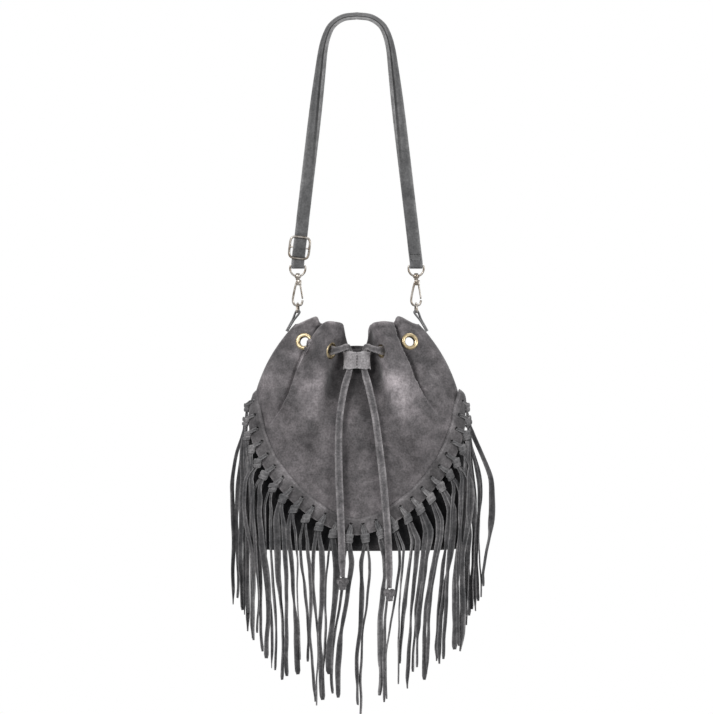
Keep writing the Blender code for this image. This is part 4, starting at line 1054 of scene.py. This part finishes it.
# Cord keeper
# A strip of the body suede folded round both runs of the drawstring and sewn down the middle, so that it slides
# along them and holds the mouth shut. Its colour is much paler than the body suede: partly its own paler tone, partly
# a painted highlight that makes up for the shade it lies in.
keeper_suede_with_painted_highlight = suede_finish(
    "pale_keeper_suede_with_painted_highlight", (0.220, 0.208, 0.211), (0.290, 0.274, 0.278), (0.360, 0.342, 0.347), (0.480, 0.460, 0.465),
    0.3, 90.0,
)
rings, worn = [], []
LEVELS = 14
KEEPER_SIDES = 56
for r in range(LEVELS + 1):
    share = r / LEVELS
    z = KEEPER_LOW + KEEPER_HEIGHT * share
    flare = 1 + 0.05 * (2 * share - 1) ** 2 - 0.02 * math.sin(math.pi * share)
    ring = []
    for k in range(KEEPER_SIDES):
        angle = 2 * math.pi * k / KEEPER_SIDES
        c, s = math.cos(angle), math.sin(angle)
        x = math.copysign(abs(c) ** 0.75, c) * (KEEPER_WIDTH / 2 - 0.0009) * flare
        pinch = 1 - 0.80 * bump(x, 0.0032)
        y = math.copysign(abs(s) ** 0.7, s) * (KEEPER_THICK / 2 - 0.0006) * pinch
        ring.append(Vector((x, KEEPER_Y + y, z + 0.0006 * math.cos(6 * angle) * (2 * share - 1))))
    rings.append(ring)
    worn.append([0.42 + 0.4 * bump(share, 0.08) + 0.4 * bump(share - 1, 0.08) for _ in ring])
points, faces, wear_and_painted_light = lofted(rings, worn)
keeper = mesh_object("sewn_cord_keeper", [(points, faces[:-2], wear_and_painted_light)], keeper_suede_with_painted_highlight)
thicken(keeper, 0.0010)
fit(keeper, "cord_keeper", "bag")


def stitch_tree():
    """Geometry Nodes: a thread stitch at each pitch along the drawn rows."""
    tree = bpy.data.node_groups.new("thread_stitches", "GeometryNodeTree")
    tree.interface.new_socket("Rows", in_out="INPUT", socket_type="NodeSocketGeometry")
    for label in ("Pitch", "Stitch length", "Thread radius"):
        tree.interface.new_socket(label, in_out="INPUT", socket_type="NodeSocketFloat")
    tree.interface.new_socket("Thread", in_out="INPUT", socket_type="NodeSocketMaterial")
    tree.interface.new_socket("Stitches", in_out="OUTPUT", socket_type="NodeSocketGeometry")
    given = add_node(tree, "NodeGroupInput")
    made = add_node(tree, "NodeGroupOutput")
    curve = add_node(tree, "GeometryNodeMeshToCurve")
    spaced = add_node(tree, "GeometryNodeResampleCurve", mode="LENGTH")
    along = add_node(tree, "GeometryNodeInputTangent")
    facing = add_node(tree, "FunctionNodeAlignRotationToVector", axis="Z")
    thread = add_node(tree, "GeometryNodeMeshUVSphere", {"Segments": 8, "Rings": 6, "Radius": 1.0})
    half = add_node(tree, "ShaderNodeMath", {1: 0.5}, operation="MULTIPLY")
    sized = add_node(tree, "ShaderNodeCombineXYZ")
    stitched = add_node(tree, "GeometryNodeInstanceOnPoints")
    real = add_node(tree, "GeometryNodeRealizeInstances")
    dyed = add_node(tree, "GeometryNodeSetMaterial")
    join(
        tree, (given, "Rows", curve, "Mesh"), (curve, "Curve", spaced, "Curve"), (given, "Pitch", spaced, "Length"),
        (spaced, "Curve", stitched, "Points"), (thread, "Mesh", stitched, "Instance"),
        (along, "Tangent", facing, "Vector"), (facing, "Rotation", stitched, "Rotation"),
        (given, "Stitch length", half, 0), (given, "Thread radius", sized, "X"), (given, "Thread radius", sized, "Y"),
        (half, "Value", sized, "Z"), (sized, "Vector", stitched, "Scale"), (stitched, "Instances", real, "Geometry"),
        (real, "Geometry", dyed, "Geometry"), (given, "Thread", dyed, "Material"),
        (dyed, "Geometry", made, "Stitches"),
    )
    return tree


stitching = stitch_tree()
dark_thread = suede_finish(
    "dark_waxed_thread", (0.020, 0.019, 0.020), (0.030, 0.029, 0.030), (0.045, 0.043, 0.045), (0.080, 0.078, 0.080),
    0.05, 400.0,
)


def sew(name, rows, pitch, length, radius, body):
    """Stitches along rows of points, as one plain mesh that rides on a body."""
    points, edges = [], []
    for row in rows:
        edges += [(len(points) + k, len(points) + k + 1) for k in range(len(row) - 1)]
        points += row
    mesh = bpy.data.meshes.new(name + "_rows")
    mesh.from_pydata(points, edges, [])
    guide = placed(name + "_rows", mesh)
    sewing = guide.modifiers.new("stitches", "NODES")
    sewing.node_group = stitching
    values = {"Pitch": pitch, "Stitch length": length, "Thread radius": radius, "Thread": dark_thread}
    for socket in stitching.interface.items_tree:
        if socket.in_out == "INPUT" and socket.name in values:
            sewing[socket.identifier] = values[socket.name]
    shown = bpy.data.meshes.new_from_object(guide.evaluated_get(bpy.context.evaluated_depsgraph_get()))
    bpy.data.objects.remove(guide)
    shown.name = name
    shown.shade_smooth()
    made = placed(name, shown)
    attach(made, body)


front_y = KEEPER_Y - 0.2 * (KEEPER_THICK / 2 - 0.0006) - 0.0003
sew("keeper_stitches", [[Vector((0.0, front_y, KEEPER_LOW + 0.0012 + 0.0164 * k / 8)) for k in range(9)]],
    0.0029, 0.0021, 0.00042, "bag")


# Shoulder strap
# A narrow strap of grey leather, turned half over at the crown. Its right end is folded round the hook's loop and
# sewn; its left end goes through the slider, round the other loop and back to the slider's bar.
STRAP_WIDTH = 0.0142
STRAP_THICK = 0.0016
STRAP_DROP = 0.274
STRAP_SPREAD = 0.065
STRAP_SLANT = 0.118
STRAIGHT_FOLD = 0.004
CROWN_HALF = 0.037
CROWN_TILT = math.radians(52)
LOOP_WIRE = 0.0011
SLIDER_WIRE = 0.0010
SLIDER_WIDTH = 0.0238
SLIDER_HEIGHT = 0.0256
SLIDER_ABOVE = 0.0200


def leather_finish(name, low, high, edge):
    """Soft finished leather with a pressed grain and worn pale edges; a low per-point tone darkens it, which the
    strap's pressed line uses for painted shade.
    """
    made = suede_finish(name, low, [(a + b) / 2 for a, b in zip(low, high)], high, edge, 0.10, 22.0)
    shader = made.node_tree.nodes["Principled BSDF"]
    shader.inputs["Roughness"].default_value = 0.74
    shader.inputs["Specular IOR Level"].default_value = 0.30
    return made


def strap_band(stations, wide, thick, seam=None):
    """A strap through its stations, with worn pale edges and, where a seam is given, a pressed line along its face,
    painted dark with shade.
    """
    rings, worn = [], []
    for centre, across, normal in stations:
        a, n = across.normalized() * wide / 2, normal.normalized() * thick / 2
        open_by = seam(centre) if seam else 0.0
        line = -0.70 + 0.42 * open_by
        # Where the pressed line opens, its tone falls to the darkest: painted shade in the groove and along the
        # strap's turned edge.
        sunk, dark = 1 - 1.3 * open_by, 0.34 - 0.34 * open_by
        section = [
            (1.0, 0.35, 0.80), (0.95, 0.85, 0.85), (0.85, 1.0, 0.60), (0.45, 1.05, 0.34),
            (line + 0.26, 1.0, 0.30 + 0.25 * open_by), (line + 0.15, sunk, dark), (line - 0.11, sunk, dark),
            (line - 0.20, 1 + 0.25 * open_by, 0.36 + 0.50 * open_by), (-0.93, 1.0, 0.50 + 0.2 * open_by),
            (-0.98, 0.85, 0.85), (-1.0, 0.35, 0.80), (-1.0, -0.35, 0.80), (-0.95, -0.85, 0.85), (-0.85, -1.0, 0.50),
            (0.0, -1.05, 0.34), (0.85, -1.0, 0.50), (0.95, -0.85, 0.85), (1.0, -0.35, 0.80),
        ]
        rings.append([centre + a * i + n * j for i, j, _ in section])
        worn.append([w for _, _, w in section])
    return lofted(rings, worn)


def slanted(z):
    """How far from the middle each side of the strap is: it leans in above its loop."""
    return STRAP_SPREAD - STRAP_SLANT * max(z + STRAP_DROP - STRAIGHT_FOLD, 0.0)


def strap_side(sign):
    """The strap's run from the crown down one side, to where its end fold starts."""
    c, z = CROWN_HALF, -STRAP_DROP
    fold = 0.050 if sign < 0 else 0.026
    knots = [(0.0, 0.0), (0.40 * c, -0.0020), (0.70 * c, -0.0090), (0.87 * c, -0.0190), (c, -0.036)]
    knots += [(slanted(low), low) for low in (-0.065, 0.50 * z, 0.70 * z, z + fold + 0.012, z + fold)]
    return spline_points([(sign * px, 0, pz + STRAP_THICK / 2) for px, pz in knots], 9)


def fold_path(sign, knots):
    """Stations of an end fold, from knots given as depth and height."""
    points = spline_points([(sign * slanted(z), y, z) for y, z in knots], 6)
    stations = []
    for i, p in enumerate(points):
        run = (points[min(i + 1, len(points) - 1)] - points[max(i - 1, 0)]).normalized()
        lean = STRAP_SLANT * smooth((p.z + STRAP_DROP - STRAIGHT_FOLD / 2) / STRAIGHT_FOLD)
        across = Vector((1, 0, sign * lean)).normalized()
        stations.append((p, across, across.cross(run)))
    return stations


def arc_knots(centre_z, radius, start, end, count):
    """Knots of a turn round a wire."""
    turns = [start + (end - start) * i / (count - 1) for i in range(count)]
    return [(radius * math.cos(t), centre_z + radius * math.sin(t)) for t in turns]


strap_leather = leather_finish(
    "grey_strap_leather", (0.088, 0.088, 0.089), (0.135, 0.134, 0.135), (0.290, 0.286, 0.286)
)
line = list(reversed(strap_side(1))) + strap_side(-1)[1:]
crown = []
for i, p in enumerate(line):
    run = (line[min(i + 1, len(line) - 1)] - line[max(i - 1, 0)]).normalized()
    tilt = CROWN_TILT * (1 - smooth(-p.z / (STRAP_DROP * 0.55)))
    flat = Vector((0, 1, 0)).cross(run).normalized()
    across = (math.cos(tilt) * flat + math.sin(tilt) * Vector((0, 1, 0))).normalized()
    crown.append((p, across, across.cross(run)))
bar = -STRAP_DROP
wrap = LOOP_WIRE + CLEARANCE + STRAP_THICK / 2
first, last = crown[0][0], crown[-1][0]
right = [(first.y, first.z), (-0.6 * wrap, first.z - 0.007), (-wrap, bar + 0.012), (-wrap, bar + 0.004)]
right += arc_knots(bar, wrap, math.pi, 2 * math.pi, 7)
right += [(wrap, bar + 0.004), (STRAP_THICK + CLEARANCE, bar + 0.020)]
right_run = fold_path(1, right)
z = bar + SLIDER_ABOVE
half_z = SLIDER_HEIGHT / 2 - SLIDER_WIRE
lay = SLIDER_WIRE + CLEARANCE + STRAP_THICK / 2
front = -(SLIDER_WIRE + 2 * CLEARANCE + 1.5 * STRAP_THICK)
behind = lay + STRAP_THICK + 2 * CLEARANCE
left = [
    (last.y, last.z), (lay + 0.0003, z + half_z + 0.004), (lay + 0.0003, z + half_z),
    (0.3 * front, z + 0.55 * half_z), (front, z + 0.1 * half_z), (front, z - 0.1 * half_z),
    (0.3 * front, z - 0.6 * half_z), (lay + 0.0002, z - half_z), (-0.3 * wrap, bar + 0.0055), (-wrap, bar + 0.0030),
]
left += arc_knots(bar, wrap, math.pi, 2 * math.pi, 7)
left += [(0.6 * behind + 0.4 * wrap, bar + 0.005), (behind, z - half_z), (behind, z - 0.6 * half_z)]
left += [(lay, z), (0.0, z + lay), (-lay, z), (-0.35 * lay, z - 0.55 * half_z)]
left_run = fold_path(-1, left)
whole = []
for centre, across, normal in list(reversed(right_run)) + crown[1:-1] + left_run:
    if whole and across.dot(whole[-1][1]) < 0:
        across = -across
    if whole and normal.dot(whole[-1][2]) < 0:
        normal = -normal
    whole.append((centre, across, normal))
_, top_across, top_normal = whole[len(right_run) + len(crown) // 2 - 1]
out_way = 1 if top_across.z > 0 else -1
face_way = 1 if top_normal.y < 0 else -1
whole = [(centre, across * out_way, normal * face_way) for centre, across, normal in whole]
solid = strap_band(whole, STRAP_WIDTH, STRAP_THICK, lambda p: 1 - smooth((-0.070 - p.z) / 0.150))
strap = mesh_object("long_shoulder_strap", [solid], strap_leather, 50)
fit(strap, "shoulder_strap", "strap")
front_y = -(wrap + STRAP_THICK / 2 + 0.0001)
corners = [(-1, 0.0125), (-1, 0.0055), (1, 0.0055), (1, 0.0125), (-1, 0.0125)]
row = []
for (ax, az), (bx, bz) in zip(corners, corners[1:]):
    for k in range(6):
        px, pz = ax + (bx - ax) * k / 6, az + (bz - az) * k / 6
        row.append(Vector((slanted(bar + pz) + 0.0052 * px, front_y, bar + pz)))
sew("strap_end_stitches", [row], 0.0026, 0.0019, 0.00028, "strap")


# Slider, hooks and rings
# Bent steel wire with a nickel plate that has warmed with age: the slider's frame and bar, each hook's loop, boss,
# post, bow, cheeks, gate and rivet, and the ring in each leather tab.
nickel = metal_finish("warm_nickel_plate", (0.40, 0.375, 0.345), (0.150, 0.120, 0.090), 0.26, 150.0)


def wire(points, radii, binormal, sides=16, closed=False):
    """Round wire along a path that lies in one plane."""
    points = [Vector(p) for p in points]
    binormal = Vector(binormal).normalized()
    rings = []
    for i, p in enumerate(points):
        before = points[i - 1] if closed or i else p
        after = points[(i + 1) % len(points)] if closed or i + 1 < len(points) else p
        normal = binormal.cross((after - before).normalized()).normalized()
        r = radii[i] if isinstance(radii, (list, tuple)) else radii
        turns = [2 * math.pi * k / sides for k in range(sides)]
        rings.append([p + r * (math.cos(t) * normal + math.sin(t) * binormal) for t in turns])
    return lofted(rings, [[0.4] * sides] * len(points), closed)


def rod(start, end, radius, sides=20):
    """A straight pin with eased ends."""
    axis = (Vector(end) - Vector(start)).normalized()
    a = axis.orthogonal().normalized()
    b = axis.cross(a)
    bevel = radius * 0.18
    places = ((start, radius - bevel, 0), (start, radius, bevel), (end, radius, -bevel), (end, radius - bevel, 0))
    rings = []
    for p, r, shift in places:
        turns = [2 * math.pi * k / sides for k in range(sides)]
        rings.append([Vector(p) + axis * shift + r * (math.cos(t) * a + math.sin(t) * b) for t in turns])
    return lofted(rings, [[0.4] * sides] * 4)


def plate(low, high, bevel=0.0003):
    """A small flat plate in the hook's own plane, with its edges eased."""
    x0, y0, z0 = low
    x1, y1, z1 = high
    rings = []
    corner = 0.0008
    for y, inside in ((y0, bevel), (y0 + bevel, 0), (y1 - bevel, 0), (y1, bevel)):
        outline = []
        round_by = corner - inside
        for cx, cz, start in ((x1, z1, 0), (x0, z1, 90), (x0, z0, 180), (x1, z0, 270)):
            mx = cx - math.copysign(corner, cx - (x0 + x1) / 2)
            mz = cz - math.copysign(corner, cz - (z0 + z1) / 2)
            for step in range(4):
                t = math.radians(start + 30 * step)
                outline.append(Vector((mx + round_by * math.cos(t), y, mz + round_by * math.sin(t))))
        rings.append(outline)
    return lofted(rings, [[0.4] * 16] * 4)


def metal_piece(name, solids, node, body):
    """One piece of the plated hardware."""
    made = mesh_object(name, solids, nickel, 50)
    fit(made, node, body)


def rounded_loop(half_x, high, low, round_share, count):
    """The outline of a frame with rounded corners."""
    points = []
    for k in range(count):
        t = 2 * math.pi * k / count
        x = math.copysign(abs(math.cos(t)) ** round_share, math.cos(t)) * half_x
        z = math.copysign(abs(math.sin(t)) ** round_share, math.sin(t))
        points.append((x, (high + low) / 2 + z * (high - low) / 2))
    return points


z = bar + SLIDER_ABOVE
centre = Vector((-slanted(z), 0, z))
across = Vector((1, 0, -STRAP_SLANT)).normalized()
up = Vector((STRAP_SLANT, 0, 1))
half_x = SLIDER_WIDTH / 2 - SLIDER_WIRE
outline = rounded_loop(half_x, half_z, -half_z, 0.45, 96)
solids = [
    wire([centre + across * px + up * pz for px, pz in outline], SLIDER_WIRE * 1.30, (0, 1, 0), 16, True),
    rod(centre - across * half_x, centre + across * half_x, SLIDER_WIRE * 0.9),
]
metal_piece("strap_slider_frame", solids, "strap_slider", "strap")

LOOP_STEPS = 30
LOOP_WIDTH = 0.0190
LOOP_HEIGHT = 0.0125
BOSS_RADIUS = 0.0034
BOSS_SIDES = 28
BOW_TIP = 0.0058
GATE_RADIUS = 0.0010
CHEEK_THICK = 0.0008
BOSS_HEIGHT = 0.0040
HOOK_WIRE = 0.0012
HOOK_HALF = 0.0054
HOOK_LENGTH = 0.0320
NECK_DROP = 0.0022
RING_STEPS = 36
RING_WIDTH = 0.0150
RING_HEIGHT = 0.0120
RING_WIRE = 0.0011
TAB_WIDTH = 0.0090
TAB_THICK = 0.0012
TAB_LENGTH = 0.0220
TAB_STEPS = 20
RING_TURN = math.radians(8)
half = LOOP_WIDTH / 2 - LOOP_WIRE
low = bar - LOOP_HEIGHT + LOOP_WIRE
boss_top = low + BOSS_HEIGHT / 2
neck = boss_top - BOSS_HEIGHT - CLEARANCE
top = neck - NECK_DROP
bend = neck - HOOK_LENGTH + NECK_DROP
for side, sign in (("left", -1), ("right", 1)):
    x = sign * STRAP_SPREAD
    path = [(-half + 0.001, bar), (-half * 0.3, bar), (half * 0.3, bar), (half - 0.001, bar)]
    path += [(half - 0.0003, bar - 0.0003), (half, bar - 0.001), (half, bar - 0.003)]
    for k in range(1, LOOP_STEPS):
        t = math.pi * k / LOOP_STEPS
        path.append((half * math.cos(t), bar - 0.003 + (low - bar + 0.003) * math.sin(t)))
    path += [(-half, bar - 0.003), (-half, bar - 0.001), (-half + 0.0003, bar - 0.0003)]
    boss = [(0.0019, 0.0), (0.0030, 0.0), (BOSS_RADIUS, -0.0004), (BOSS_RADIUS, -0.0036)]
    boss += [(0.0030, -BOSS_HEIGHT), (0.0019, -BOSS_HEIGHT)]
    turned = []
    for k in range(BOSS_SIDES):
        t = 2 * math.pi * k / BOSS_SIDES
        turned.append([Vector((x + r * math.cos(t), r * math.sin(t), boss_top + h)) for r, h in boss])
    solids = [wire([(x + px, 0, pz) for px, pz in path], LOOP_WIRE, (0, 1, 0), 16, True)]
    solids.append(lofted(turned, [[0.4] * len(boss)] * BOSS_SIDES, True))
    metal_piece(f"{side}_strap_loop_wire", solids, f"{side}_strap_loop", f"{side}_loop")

    bow = spline_points(
        [
            (0, 0, top), (-0.0016, 0, top - 0.0030), (-0.62 * HOOK_HALF, 0, top - 0.0095),
            (-HOOK_HALF, 0, bend + 0.0065), (-0.72 * HOOK_HALF, 0, bend + 0.0013), (0, 0, bend),
            (0.72 * HOOK_HALF, 0, bend + 0.0013), (HOOK_HALF, 0, bend + BOW_TIP),
        ],
        10,
    )
    head = boss_top + CLEARANCE
    post = [(0, 0, head + 0.0012), (0, 0, head + 0.0010), (0, 0, head + 0.0002), (0, 0, head), (0, 0, head - 0.00005),
            (0, 0, neck + 0.00005), (0, 0, neck), (0, 0, neck - 0.0012)]
    radii = [0.0014, 0.0021, 0.0025, 0.0024, 0.0017, 0.0017, 0.0024, 0.0023, 0.0018] + [HOOK_WIRE] * (len(bow) - 1)
    points = [Vector(p) + Vector((x, 0, 0)) for p in post + bow]
    pin = Vector((x + 0.0026, 0, top - 0.0040))
    room = GATE_RADIUS + CLEARANCE
    solids = [wire(points, radii, (0, 1, 0), 16)]
    for y in (-room - CHEEK_THICK, room):
        solids.append(plate((x - 0.0012, y, pin.z - 0.0014), (pin.x + 0.0014, y + CHEEK_THICK, top + 0.0004)))
    metal_piece(f"{side}_snap_hook_bow", solids, f"{side}_snap_hook", f"{side}_hook")
    cheek = room + CHEEK_THICK
    rivet = wire(
        [(pin.x, y, pin.z) for y in (-cheek - 0.0006, -cheek - 0.0005, -cheek - 0.0003, -cheek - 0.00029,
                                     cheek + 0.00029, cheek + 0.0003, cheek + 0.0005, cheek + 0.0006)],
        [0.0005, 0.0009, 0.0011, 0.0006, 0.0006, 0.0011, 0.0009, 0.0005], (0, 0, 1), 20,
    )
    metal_piece(f"{side}_gate_pin", [rivet], f"{side}_gate_rivet", f"{side}_hook")
    tip = Vector((x + HOOK_HALF - 0.0002, 0, bend + BOW_TIP + CLEARANCE + HOOK_WIRE))
    shares = (0.0, 0.2, 0.5, 0.8, 0.97, 1.0)
    radii = [GATE_RADIUS, GATE_RADIUS, 0.0009, 0.0009, 0.0009, 0.0005]
    gate = wire([pin + (tip - pin) * s for s in shares], radii, (0, 1, 0), 16)
    eye_ring = rod(pin - Vector((0, GATE_RADIUS, 0)), pin + Vector((0, GATE_RADIUS, 0)), 0.0014, 24)
    metal_piece(f"{side}_gate_lever", [gate, eye_ring], f"{side}_hook_gate", f"{side}_gate")

    ring_top = bend + HOOK_WIRE + CLEARANCE + RING_WIRE
    ring_low = ring_top - RING_HEIGHT + 2 * RING_WIRE
    ring_half = RING_WIDTH / 2 - RING_WIRE
    path = [(ring_half - 0.001, ring_low), (0.0, ring_low), (-ring_half + 0.001, ring_low)]
    path += [(-ring_half + 0.0003, ring_low + 0.0003), (-ring_half, ring_low + 0.001)]
    for k in range(RING_STEPS + 1):
        t = math.pi * (1 - k / RING_STEPS)
        path.append((ring_half * math.cos(t), ring_low + 0.002 + (ring_top - ring_low - 0.002) * math.sin(t)))
    path += [(ring_half, ring_low + 0.001), (ring_half - 0.0003, ring_low + 0.0003)]
    turned = Matrix.Rotation(sign * RING_TURN, 3, "Z")
    middle = Vector((x, 0, 0))
    around = [middle + turned @ Vector((0, y, h)) for y, h in path]
    metal_piece(f"{side}_ring_wire", [wire(around, RING_WIRE * 0.92, turned @ Vector((1, 0, 0)), 16, True)],
                f"{side}_bag_ring", "bag")

    fold_top = Vector((STRAP_SPREAD, 0, ring_low))
    tab_wrap = RING_WIRE + CLEARANCE + TAB_THICK / 2
    lie = (TAB_THICK + CLEARANCE) / 2
    foot_z = ring_low - TAB_LENGTH
    edge = half_width(foot_z)
    slope = (half_width(foot_z + 1e-4) - edge) / 1e-4
    outward = Vector((1, 0, -slope)).normalized()
    foot = Vector((edge, 0, foot_z)) + outward * (lie + CLEARANCE + TAB_THICK / 2)
    run = (fold_top - foot).normalized()
    aside = Vector((run.z, 0, -run.x))
    reach = (fold_top - foot).length
    legs = []
    for s in range(TAB_STEPS + 1):
        spread = lie + (tab_wrap - lie) * smooth((s / TAB_STEPS - 0.55) / 0.45)
        legs.append((foot + run * reach * s / TAB_STEPS, spread))
    points = [p - aside * h for p, h in legs]
    turns = [math.pi * k / TAB_STEPS for k in range(1, TAB_STEPS)]
    points += [fold_top + tab_wrap * (math.sin(t) * run - math.cos(t) * aside) for t in turns]
    points += [p + aside * h for p, h in reversed(legs)]
    stations = []
    for i, p in enumerate(points):
        ahead = points[min(i + 1, len(points) - 1)] - points[max(i - 1, 0)]
        facing = Vector((0, 1, 0)).cross(ahead)
        share = min(max((p - foot).dot(run) / reach, 0.0), 1.0)
        lean = Matrix.Rotation(sign * RING_TURN * (0.35 + 0.65 * smooth(share * 1.2)), 3, "Z")
        middle = foot + run * reach * share
        middle.x *= sign
        away = Vector((sign * p.x, p.y, p.z)) - middle
        normal = Vector((sign * facing.x, facing.y, facing.z))
        stations.append((middle + lean @ away, lean @ Vector((0, 1, 0)), lean @ normal))
    tab = mesh_object(f"{side}_leather_tab", [strap_band(stations, TAB_WIDTH, TAB_THICK)], strap_leather, 50)
    fit(tab, f"{side}_ring_tab", "bag")
